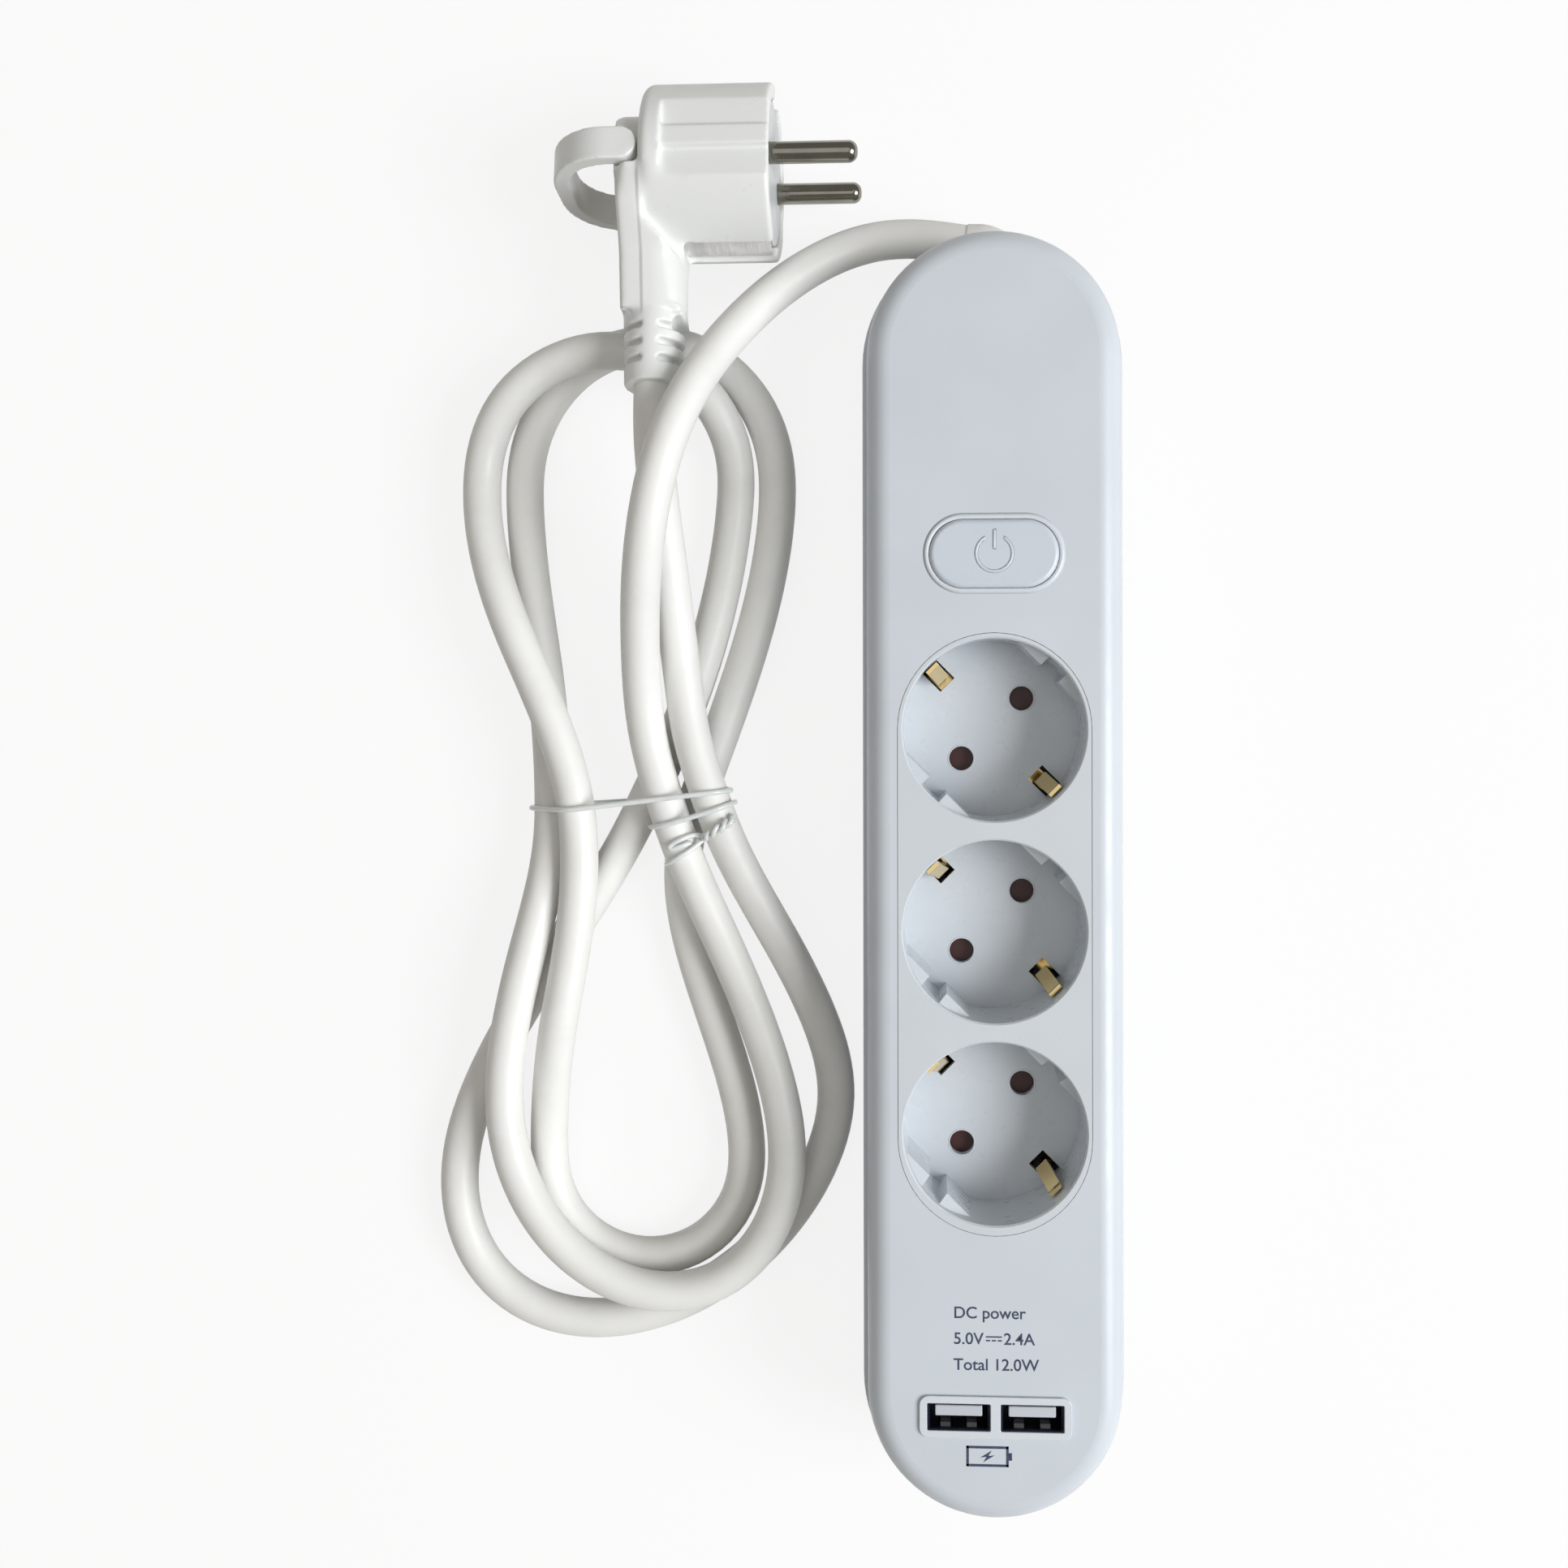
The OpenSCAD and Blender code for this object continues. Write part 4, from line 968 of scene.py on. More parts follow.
@dataclass
class HankCourse:
    """The course of the whole free cord, in millimetres, with the numbers of the solid part."""

    cord_d: float = 8.8
    waist_y: float = 10.0
    low_z: float = 4.4
    layer: float = 9.4
    waist_lift: float = 1.4
    stub: float = 9.2
    steps: int = 60
    mouth: Point = (-5.56524, 141.999, 13.5)
    mouth_way: Point = (-0.984808, 0.173648, 0.0)
    relief: Point = (-75.2, 107.023, 27.4156)
    relief_way: Point = (0.0, -0.987688, 0.156434)
    hidden: float = 2.0
    strands: tuple[Strand, ...] = (
        Strand(-73.5, 1.0, -0.32), Strand(-102.4, 0.34, 0.0), Strand(-70.3, 0.0, 0.35),
        Strand(-95.1, 1.05, -0.1), Strand(-82.7, 0.0, 0.5), Strand(-62.6, 1.0, -0.35))
    bows: tuple[Bow, ...] = (
        Bow(-47.0, -112.8, -62.0, -100.0, (0.85, 0.95, 1.0, 1.0, 1.0, 0.95, 1.0), 5.0),
        Bow(-110.5, -49.6, 89.0, 122.6, (0.0,) * 7),
        Bow(-57.0, -104.8, -71.6, -95.2, (0.0,) * 6 + (1.0,)),
        Bow(-119.2, -59.4, 89.5, 119.0, (1.2, 0.6, 1.0, 1.0, 0.65, 0.0, 0.0), 1.5),
        Bow(-124.8, -37.0, -64.5, -110.0, (0.0,) * 6 + (0.6,), -13.0))
    lead: tuple[Point, ...] = (
        (-16.0, 143.6, 13.6), (-27.0, 142.8, 14.4), (-38.0, 138.2, 16.6), (-48.0, 130.6, 20.6),
        (-56.8, 120.6, 26.4), (-63.6, 109.8, 32.8), (-68.6, 98.8, 37.8), (-72.2, 87.4, 39.4),
        (-75.2, 75.0, 36.8), (-77.6, 62.0, 30.6), (-79.0, 49.0, 23.6), (-79.4, 36.4, 18.0),
        (-78.4, 27.0, 15.6))
    plug_lead: tuple[Point, ...] = (
        (-69.0, 30.0, 15.2), (-70.6, 42.0, 15.2), (-71.9, 54.0, 17.0), (-72.8, 66.0, 21.0),
        (-73.7, 77.0, 25.2), (-74.6, 88.0, 27.8), (-75.2, 97.0, 28.4))

    def waist_z(self, strand: Strand) -> float:
        """The height of a strand's middle at the waist."""
        return self.low_z + self.waist_lift + strand.layer * self.layer

    def crossing(self, strand: Strand, up: float) -> Vector:
        """A point of a strand, up along it from the waist."""
        return Vector((strand.x, self.waist_y, self.waist_z(strand))) + strand.direction() * up

    def bow_point(self, index: int, u: float) -> Vector:
        """A point of a bow.

        Args:
            index: which bow.
            u: how far round it, from 0 to 1.

        Returns:
            The point.
        """
        bow, start, end = self.bows[index], self.strands[index], self.strands[index + 1]
        run = bow.wide_y - self.waist_y
        slant = bow.off / (bow.end_y - bow.wide_y) * run
        if u < 0.25:
            t = 4 * u
            x, y = hermite(start.x, start.lean * run, bow.near_x, slant, t), self.waist_y + run * t
        elif u > 0.75:
            t = 4 * (1 - u)
            x, y = hermite(end.x, end.lean * run, bow.far_x, slant, t), self.waist_y + run * t
        else:
            turn = math.tau * (u - 0.25)
            x = ((bow.near_x + bow.far_x) + (bow.near_x - bow.far_x) * math.cos(turn)) / 2
            x += bow.off * math.sin(turn)
            y = bow.wide_y + (bow.end_y - bow.wide_y) * math.sin(turn)
        knots = [self.waist_z(start), *(self.low_z + h * self.layer for h in bow.layers),
                 self.waist_z(end)]
        k = min(int(u * 8), 7)
        t = u * 8 - k
        return Vector((x, y, knots[k] + (knots[k + 1] - knots[k]) * t * t * (3 - 2 * t)))

    def hank(self) -> list[Vector]:
        """The wound part, from the first strand's stub to the last one's."""
        first, last = self.strands[0], self.strands[-1]
        wound = [self.bow_point(i, k / self.steps)
                 for i in range(len(self.bows)) for k in range(self.steps)]
        return [self.crossing(first, self.stub), *wound, self.crossing(last, 0.0),
                self.crossing(last, self.stub)]

    def whole(self, step: float = 2.5) -> list[Vector]:
        """The free cord's course, from inside the sleeve's mouth to inside the plug's relief.

        Args:
            step: distance between its points.

        Returns:
            The eased course.
        """
        mouth, relief = Vector(self.mouth), Vector(self.relief)
        wound = self.hank()
        lead = rounded_course([mouth, *self.lead, wound[0]], 8)
        plug_lead = rounded_course([wound[-1], *self.plug_lead, relief], 8)
        course = [mouth - Vector(self.mouth_way) * self.hidden, *lead, *wound[1:-1], *plug_lead,
                  relief - Vector(self.relief_way) * self.hidden]
        return eased_course(even_course(course, step), 6)


@dataclass
class CordRun:
    """The free cord: one sheath along the whole course."""

    course: list[Vector]
    shape: HankCourse
    sides: int = 28
    length: float = 1.625
    unevenness: float = 0.006
    waves: Pair = (0.37, 0.11)

    def build(self) -> bpy.types.Object:
        """Makes the sheath, a little oval and uneven as a drawn sheath is."""
        radius, (fast, slow) = self.shape.cord_d / 2, self.waves
        waves = [0.5 + 0.5 * math.sin(i * fast) * math.cos(i * slow)
                 for i in range(len(self.course))]
        radii = [radius * (1.0 - self.unevenness * wave) for wave in waves]
        return fitted("cord", [Sweep(self.course, radii, self.sides).shape()], Finishes.cord,
                      ("cord_lead", "cord_hank", "plug_lead"))


@dataclass
class ElbowSleeve:
    """The bent sleeve in the strip's end: flange, neck, collar, bend and tapered mouth.

    The mouth's rows run from its lip into the bore. Each one gives its step along the cord and how
    far it lies inside the sleeve's or the bore's surface.
    """

    exit_x: float = 4.0
    exit_z: float = 13.5
    inner_y: float = 127.6
    elbow_y: float = 133.6
    bend_r: float = 8.0
    bend: float = math.radians(80.0)
    mouth_len: float = 3.0
    flange_d: float = 14.0
    flange_t: float = 2.0
    neck_d: float = 10.6
    collar_d: float = 13.0
    collar_t: float = 1.5
    sleeve_d: float = 11.0
    bore_d: float = 9.0
    taper: float = 1.75
    taper_from: float = 0.45
    taper_power: float = 1.5
    flange_edge: float = 0.3
    collar_edge: float = 0.2
    tuck: float = 0.25
    lip: Pair = (0.12, 0.12)
    mouth: tuple[Pair, ...] = ((0.1, 0.05), (-1.0, 0.3))
    crease: float = math.radians(50.0)
    step: float = 0.25
    least_step: float = 0.01
    sides: int = 40

    def build(self) -> bpy.types.Object:
        """Makes the sleeve in the place of the plain one."""
        points, faces = joined([self._straight(), self._bend()])
        sleeve = make_piece("elbow_sleeve", points, faces, Finishes.cord)
        sleeve.modifiers.new("corners", "EDGE_SPLIT").split_angle = self.crease
        return mounted(sleeve, Body.STRIP, ("cord_boot",))

    @staticmethod
    def _disc(low: float, high: float, width: float, edge: float) -> list[Pair]:
        """A disc with its corners taken off.

        Args:
            low: where it starts.
            high: where it ends.
            width: its diameter.
            edge: how much its corners lose.

        Returns:
            Place and diameter of each of its stations.
        """
        return [(low, width - 2 * edge), (low + edge, width), (high - edge, width),
                (high, width - 2 * edge)]

    def _straight(self) -> Shape:
        """The flange inside the case, the neck through its wall and the collar outside."""
        y, top = self.inner_y, self.elbow_y
        inside, outside = y + self.flange_t, top - self.collar_t
        stations = [(y, self.bore_d), *self._disc(y, inside, self.flange_d, self.flange_edge),
                    (inside, self.neck_d), (outside, self.neck_d),
                    *self._disc(outside, top, self.collar_d, self.collar_edge),
                    (top, self.sleeve_d - 2 * self.tuck)]
        course, radii, last = [], [], -math.inf
        for place, width in stations:
            last = place if place > last else last + self.least_step
            course.append(Vector((self.exit_x, last, self.exit_z)))
            radii.append(width / 2)
        return Sweep(course, radii, self.sides).shape()

    def _bend(self) -> Shape:
        """The bend and the mouth, which is hollow where the cord comes out."""
        centre = Vector((self.exit_x - self.bend_r, self.elbow_y, self.exit_z))
        arc = self.bend_r * self.bend
        total = arc + self.mouth_len
        way = Vector((-math.sin(self.bend), math.cos(self.bend), 0.0))
        corner = centre + self.bend_r * Vector((math.cos(self.bend), math.sin(self.bend), 0.0))
        course = [Vector((self.exit_x, self.elbow_y - self.flange_edge, self.exit_z))]
        radii = [self.sleeve_d / 2]
        count = round(total / self.step)
        for k in range(count + 1):
            walked = total * k / count
            if walked <= arc:
                angle = walked / self.bend_r
                point = centre + self.bend_r * Vector((math.cos(angle), math.sin(angle), 0.0))
            else:
                point = corner + way * (walked - arc)
            drawn_in = max(0.0, (walked / total - self.taper_from) / (1.0 - self.taper_from))
            course.append(point)
            radii.append((self.sleeve_d - self.taper * drawn_in ** self.taper_power) / 2)
        end = course[-1]
        course += [end + way * step for step, _ in (self.lip, *self.mouth)]
        radii += [radii[-1] - self.lip[1], *(self.bore_d / 2 - inside for _, inside in self.mouth)]
        return Sweep(course, radii, self.sides).shape()


@dataclass
class CordEnd:
    """The sheath's end inside the strip, cut square so that its three cores come out.

    The cut's rows give how far each is from the cut and how far under the sheath's surface.
    """

    exit_x: float = 4.0
    exit_z: float = 13.5
    cut_y: float = 103.6
    inner_y: float = 127.6
    cord_d: float = 8.8
    cut: tuple[Pair, ...] = ((0.5, 0.9), (0.02, 0.8), (0.0, 0.25), (0.25, 0.0))
    stretches: int = 12
    sides: int = 28

    def build(self) -> bpy.types.Object:
        """Makes the stretch between the sleeve and the cut."""
        radius = self.cord_d / 2
        stations = [(self.cut_y + away, radius - under) for away, under in self.cut]
        start = stations[-1][0]
        stations += [(start + k * (self.inner_y - start) / self.stretches, radius)
                     for k in range(1, self.stretches + 1)]
        course = [Vector((self.exit_x, y, self.exit_z)) for y, _ in stations]
        return fitted("cord_end", [Sweep(course, [r for _, r in stations], self.sides).shape()],
                      Finishes.cord, ("cord_tail",))


# ---------------------------------------------------------------- tie

def hull_of(points: Iterable[Pair]) -> list[Pair]:
    """The convex outline of flat points, counter-clockwise."""
    ordered = sorted(set(points))

    def half(run: Iterable[Pair]) -> list[Pair]:
        """One side of the outline."""
        kept: list[Pair] = []
        for point in run:
            while len(kept) > 1 and (
                    (kept[-1][0] - kept[-2][0]) * (point[1] - kept[-2][1])
                    - (kept[-1][1] - kept[-2][1]) * (point[0] - kept[-2][0])) <= 0:
                kept.pop()
            kept.append(point)
        return kept[:-1]

    return half(ordered) + half(reversed(ordered))


@dataclass
class WireTie:
    """The clear tie: two turns round the waist, a twisted end, a tail and a bent-back end.

    A line is read a little past its ends, as far as overrun, for the strands that it crosses.
    """

    cord: list[Vector]
    cord_r: float = 4.4
    wire_r: float = 0.62
    clear: float = 0.12
    overrun: float = 6.0
    turn_over: float = 3.0
    turn_sides: int = 48
    turn_step: float = 0.8
    floor_gap: float = 0.05
    near: float = 9.0
    laid_step: float = 0.5
    laid_rounds: int = 40
    sides: int = 14
    first_turn: tuple[Pair, ...] = (
        (-103.9, 12.3), (-90.0, 12.6), (-86.4, 12.7), (-78.4, 14.3), (-69.7, 15.7), (-61.8, 16.5))
    second_turn: tuple[Pair, ...] = ((-79.3, 8.0), (-70.0, 9.8), (-59.9, 13.5))
    twist: tuple[Pair, ...] = ((-58.6, 10.6), (-60.6, 8.9), (-63.0, 7.4), (-65.4, 5.9))
    tail: tuple[Pair, ...] = ((-65.2, 5.9), (-68.0, 3.5), (-71.2, 1.5), (-74.8, -0.4))
    hairpin: tuple[Pair, ...] = (
        (-65.2, 6.2), (-67.6, 6.6), (-70.4, 5.7), (-72.7, 4.4), (-73.0, 3.7), (-72.2, 3.5),
        (-69.8, 4.4), (-68.4, 4.9))
    twist_pitch: float = 4.6
    twist_lift: float = 0.9
    twist_r: float = 1.02
    end_r: float = 0.94

    def build(self) -> bpy.types.Object:
        """Makes the whole tie as one piece."""
        loops = [Sweep(course, [self.wire_r] * len(course), self.sides, closed=True).shape()
                 for course in (self._turn(self.first_turn), self._turn(self.second_turn))]
        ends = [Sweep(course, [self.wire_r * self.end_r] * len(course), self.sides).shape()
                for course in (*self._twisted(), self._laid(self.tail), self._laid(self.hairpin))]
        return fitted("wire_tie", loops + ends, Finishes.tie, ("cord_tie",))

    def _crossings(self, line: Sequence[Pair]) -> list[tuple[float, float, float]]:
        """Where the cord crosses the upright surface over a line.

        Args:
            line: the line in plan.

        Returns:
            For each crossing its distance along the line, its height and its widening, which is
            how much the round section is drawn out because the cord crosses at a slant.
        """
        found, walked = [], 0.0
        last = len(line) - 2
        for index, (start, end) in enumerate(zip(line, line[1:])):
            a, b = Vector(start), Vector(end)
            along, reach = (b - a).normalized(), (b - a).length
            low = -self.overrun if index == 0 else 0.0
            high = reach + self.overrun if index == last else reach
            for p, q in zip(self.cord, self.cord[1:]):
                step = Vector((q.x - p.x, q.y - p.y))
                gap = Vector((p.x - a.x, p.y - a.y))
                cross = along.x * step.y - along.y * step.x
                if abs(cross) < TINY:
                    continue
                t = -(along.x * gap.y - along.y * gap.x) / cross
                if not 0.0 <= t < 1.0:
                    continue
                distance = gap.dot(along) + step.dot(along) * t
                if low <= distance < high:
                    slant = abs(cross) / step.length
                    found.append((walked + distance, p.z + (q.z - p.z) * t, 1.0 / slant))
            walked += reach
        return found

    def _turn(self, line: Sequence[Pair]) -> list[Vector]:
        """A tight turn round the strands that a line crosses.

        Args:
            line: the line in plan.

        Returns:
            The turn's course, whose last point comes just before its first.
        """
        reach = self.cord_r + self.clear + self.wire_r
        ring = [math.tau * k / self.turn_sides for k in range(self.turn_sides)]
        total = run_length([Vector(point) for point in line])
        lowest = self.wire_r + self.floor_gap
        around = [(s + reach * wide * math.cos(turn), max(z + reach * math.sin(turn), lowest))
                  for s, z, wide in self._crossings(line)
                  if -self.turn_over <= s <= total + self.turn_over for turn in ring]
        course = [Vector((*self._along(line, distance), height))
                  for distance, height in hull_of(around)]
        course = even_course(course + [course[0]], self.turn_step)[:-1]
        for _ in range(4):
            course = [b * 0.5 + (course[i - 1] + course[(i + 1) % len(course)]) * 0.25
                      for i, b in enumerate(course)]
        return course

    @staticmethod
    def _along(line: Sequence[Pair], distance: float) -> Pair:
        """A point of a line in plan, which goes on straight past its ends.

        Args:
            line: the line.
            distance: how far along it the point is.

        Returns:
            The point's x and y.
        """
        last = len(line) - 2
        for index, (start, end) in enumerate(zip(line, line[1:])):
            a, b = Vector(start), Vector(end)
            reach = (b - a).length
            if distance <= reach or index == last:
                point = a + (b - a) * (distance / reach)
                return point.x, point.y
            distance -= reach
        raise ValueError("a line needs two points")

    def _top(self, x: float, y: float) -> float:
        """The height of the cord's upper surface, near the waist.

        Args:
            x: the x of the point that it is taken over.
            y: the y of that point.

        Returns:
            The height, or 0 where no strand lies.
        """
        heights = [0.0]
        for p, q in zip(self.cord, self.cord[1:]):
            if abs(p.x - x) > self.near or abs(p.y - y) > self.near:
                continue
            step = Vector((q.x - p.x, q.y - p.y))
            t = max(0.0, min(1.0, ((x - p.x) * step.x + (y - p.y) * step.y)
                             / max(step.length_squared, TINY)))
            away = math.hypot(x - p.x - step.x * t, y - p.y - step.y * t)
            if away < self.cord_r:
                heights.append(p.z + (q.z - p.z) * t + math.sqrt(self.cord_r ** 2 - away ** 2))
        return max(heights)

    def _laid(self, line: Sequence[Pair], above: float = 0.0) -> list[Vector]:
        """A line laid on the cord, bridging the valleys between its strands.

        Args:
            line: the line in plan.
            above: how far over the cord's surface it is held.

        Returns:
            The course.
        """
        flat = even_course(rounded_course(raised(line, 0.0), 8), self.laid_step)
        heights = [self._top(point.x, point.y) for point in flat]
        for _ in range(self.laid_rounds):
            heights = [max(h, (heights[max(i - 1, 0)] + heights[min(i + 1, len(heights) - 1)]) / 2)
                       if 0 < i < len(heights) - 1 else h for i, h in enumerate(heights)]
        return [Vector((p.x, p.y, h + self.wire_r + self.clear + above))
                for p, h in zip(flat, heights)]

    def _twisted(self) -> list[list[Vector]]:
        """The two wires that are twisted together."""
        core = self._laid(self.twist, above=self.wire_r * self.twist_lift)
        wires: list[list[Vector]] = [[], []]
        walked = 0.0
        for i, point in enumerate(core):
            ahead = (core[min(i + 1, len(core) - 1)] - core[max(i - 1, 0)]).normalized()
            aside = ahead.cross(UP).normalized()
            up = aside.cross(ahead)
            walked += (point - core[max(i - 1, 0)]).length
            for half in (0, 1):
                turn = math.tau * walked / self.twist_pitch + math.pi * half
                wires[half].append(point + (aside * math.cos(turn) + up * math.sin(turn))
                                   * self.wire_r * self.twist_r)
        return wires


# ---------------------------------------------------------------- plug

@dataclass
class AngledPlug:
    """The angled plug: soft-edged copies of its shell and pull ring round the plain inner pieces.

    Lengths are in its own frame: +X along the pins, +Y away from the cord. The neck's front half
    is drawn towards an ellipse round its middle, and its back half is set lower behind the seam.
    """

    nodes: dict[str, bpy.types.Object]
    place: Point = (-48.4, 157.0, 19.5)
    tilt: float = math.radians(-9.0)
    shell_voxel: float = 0.36
    ring_voxel: float = 0.3
    neck: tuple[Point, Point] = ((-37.0, -35.2, -19.0), (-17.5, -5.0, 19.0))
    neck_rounds: int = 12
    neck_insets: tuple[float, ...] = (0.0, 0.8, 1.6)
    neck_front: float = -27.0
    neck_core: float = 5.5
    neck_fill: tuple[Point, Point] = ((-23.2, -35.6, -5.2), (-19.7, -19.0, 5.2))
    neck_middle: float = -26.8
    neck_half: Pair = (7.1, 9.4)
    neck_ends: Pair = (-35.2, -19.4)
    neck_reach: Pair = (1.1, 1.15)
    neck_fade: Pair = (2.5, 4.0)
    seam_x: float = -28.5
    seam_step: float = 0.32
    seam_width: float = 0.3
    seam_slope: float = 0.05
    seam_start: float = 1.0
    seam_fade: float = 3.0
    seam_core: float = 5.0
    hinge: Pair = (-32.75, -1.0)
    ring_half: float = 17.6
    cap_r: float = 2.1
    cap_t: float = 0.36
    cap_inset: float = 0.02
    crown_x: Pair = (-34.4, -27.5)
    crown_y: float = 1.0
    crown_r: float = 11.0
    slot_end: Pair = (-22.9, -21.35)
    slot_out: Pair = (13.0, 18.9)
    slot_half: float = 4.75
    shell_rounds: int = 5
    ring_rounds: int = 8

    def build(self) -> list[bpy.types.Object]:
        """Makes the shell and the ring."""
        shell = self._moulded("plug_body", "plug_shell", self.shell_voxel, self.shell_rounds,
                              self._fill_shell)
        self._round_neck(shell.data)
        self._part_neck(shell.data)
        ring = self._moulded("plug_ring", "pull_ring", self.ring_voxel, self.ring_rounds,
                             self._cap_hinge)
        mounted(shell, Body.STRIP, ("plug_body",))
        mounted(ring, Body.RING, ("plug_ring",))
        return [shell, ring]

    def frame(self) -> Matrix:
        """The plug's own frame, from its millimetres to the product's metres."""
        return (Matrix.Scale(MM, 4) @ Matrix.Translation(self.place)
                @ Matrix.Rotation(self.tilt, 4, "X"))

    def _moulded(self, node: str, name: str, voxel: float, rounds: int,
                 add: Callable[[bmesh.types.BMesh], None]) -> bpy.types.Object:
        """A copy of a solid with its corners rounded off as a mould rounds them.

        Args:
            node: the solid's name.
            name: the new piece's name.
            voxel: how fine the new mesh is, in millimetres.
            rounds: how often it is smoothed.
            add: adds to the solid first.

        Returns:
            The new object.
        """
        work = bmesh.new()
        work.from_mesh(self.nodes[node].data)
        bmesh.ops.remove_doubles(work, verts=work.verts, dist=1e-6)
        add(work)
        rough = bpy.data.meshes.new(name + "_rough")
        work.to_mesh(rough)
        work.free()

        def soften(holder: bpy.types.Object) -> None:
            """Remeshes evenly, then smooths."""
            remesh = holder.modifiers.new("remesh", "REMESH")
            remesh.mode, remesh.voxel_size = "VOXEL", voxel * MM
            smooth = holder.modifiers.new("smooth", "SMOOTH")
            smooth.factor, smooth.iterations = 0.5, rounds

        return piece_of(mesh_of(rough, name + "_rough", soften), name, Finishes.plug, True)

    @staticmethod
    def _drum(work: bmesh.types.BMesh, radius: float, depth: float, sides: int,
              matrix: Matrix) -> None:
        """Adds a round drum.

        Args:
            work: the mesh that it is added to.
            radius: its radius.
            depth: its length.
            sides: how many facets go round.
            matrix: where its middle goes, with its axis along Z.
        """
        bmesh.ops.create_cone(work, cap_ends=True, segments=sides, radius1=radius, radius2=radius,
                              depth=depth, matrix=matrix)

    def _fill_shell(self, work: bmesh.types.BMesh) -> None:
        """Adds the plate's crown, closes the slots at the earth contact and fills the neck."""
        near, far = self.crown_x
        place = Matrix.Translation(((near + far) / 2, self.crown_y, 0.0))
        self._drum(work, self.crown_r, far - near, 96,
                   self.frame() @ place @ Matrix.Rotation(math.pi / 2, 4, "Y"))
        (near, far), half, (inner, outer) = self.slot_end, self.slot_half, self.slot_out
        slots = [((near, low, -half), (far, high, half))
                 for low, high in ((inner, outer), (-outer, -inner))]
        for low, high in (self.neck_fill, *slots):
            size, middle = Vector(high) - Vector(low), (Vector(high) + Vector(low)) / 2
            bmesh.ops.create_cube(work, size=1.0, matrix=self.frame()
                                  @ Matrix.Translation(middle) @ Matrix.Diagonal((*size, 1.0)))

    def _cap_hinge(self, work: bmesh.types.BMesh) -> None:
        """Closes the ring's two bores on the outside with thin round caps."""
        for side in (-1, 1):
            middle = side * (self.ring_half - self.cap_inset - self.cap_t / 2)
            self._drum(work, self.cap_r, self.cap_t, 32,
                       self.frame() @ Matrix.Translation((*self.hinge, middle)))

    def _round_neck(self, mesh: bpy.types.Mesh) -> None:
        """Smooths the neck into one flowing form, less so towards the ends of its zone.

        Args:
            mesh: the shell's mesh, which is changed.
        """
        work = bmesh.new()
        work.from_mesh(mesh)
        home = self.frame().inverted()
        low, high = (Vector(corner) for corner in self.neck)
        for inset in self.neck_insets:
            zone = []
            for point in work.verts:
                at = home @ point.co
                if (low.x <= at.x <= high.x - inset and low.y + inset <= at.y <= high.y - inset
                        and (abs(at.z) > self.neck_core or at.x > self.neck_front)):
                    zone.append(point)
            for _ in range(self.neck_rounds):
                bmesh.ops.smooth_vert(work, verts=zone, factor=0.5, use_axis_x=True,
                                      use_axis_y=True, use_axis_z=True)
        for point in work.verts:
            point.co = self.frame() @ self._rounder(home @ point.co)
        work.to_mesh(mesh)
        work.free()

    def _rounder(self, at: Vector) -> Vector:
        """Draws the front half of the neck's square section in towards an ellipse.

        Args:
            at: a point of the shell, in the plug's frame.

        Returns:
            The same point, moved if it belongs to the neck's front half.
        """
        low, high = self.neck_ends
        across = (at.x - self.neck_middle) / self.neck_half[0]
        up = at.z / self.neck_half[1]
        if not (low < at.y < high and 0.0 < across < self.neck_reach[0]
                and abs(up) < self.neck_reach[1]):
            return at
        share = min(1.0, (at.y - low) / self.neck_fade[0], (high - at.y) / self.neck_fade[1])
        across *= math.sqrt(max(0.0, 1.0 - share * min(1.0, up * up) / 2))
        up *= math.sqrt(max(0.0, 1.0 - share * min(1.0, across * across) / 2))
        return Vector((self.neck_middle + across * self.neck_half[0], at.y,
                       up * self.neck_half[1]))

    def _part_neck(self, mesh: bpy.types.Mesh) -> None:
        """Sets the neck's back half a little lower, so that a parting line runs down it.

        Args:
            mesh: the shell's mesh, which is changed.
        """
        frame = self.frame()
        home = frame.inverted()
        low, high = self.neck[0][1] - self.seam_start, self.neck[1][1]
        for point in mesh.vertices:
            at = home @ point.co
            behind = self.seam_x - at.x
            if behind > 0.0 and low < at.y < high and abs(at.z) > self.seam_core:
                drop = self.seam_step * min(1.0, behind / self.seam_width)
                drop += self.seam_slope * behind
                ends = min(1.0, (at.y - low) / self.seam_fade, (high - at.y) / self.seam_fade)
                at.z -= math.copysign(drop * ends, at.z)
                point.co = frame @ at


# ---------------------------------------------------------------- strip

@dataclass
class SocketRow:
    """The trim of the three sockets: a thin raised rim round each pin hole."""

    centres: tuple[float, ...] = (31.0, -12.0, -55.0)
    floor_z: float = 22.5
    hole_r: float = 2.7
    hole_at: float = 6.7175
    rim: tuple[Pair, ...] = (
        (0.02, -0.3), (0.02, 0.04), (0.1, 0.1), (0.24, 0.1), (0.36, 0.03), (0.36, -0.1))

    def build(self) -> bpy.types.Object:
        """Makes the rims as one piece."""
        profile = [(self.hole_r + out, height) for out, height in self.rim]
        return fitted("pin_hole_rims", [
            turned(profile, (side * self.hole_at, y + side * self.hole_at, self.floor_z))
            for y in self.centres for side in (-1, 1)], Finishes.socket)


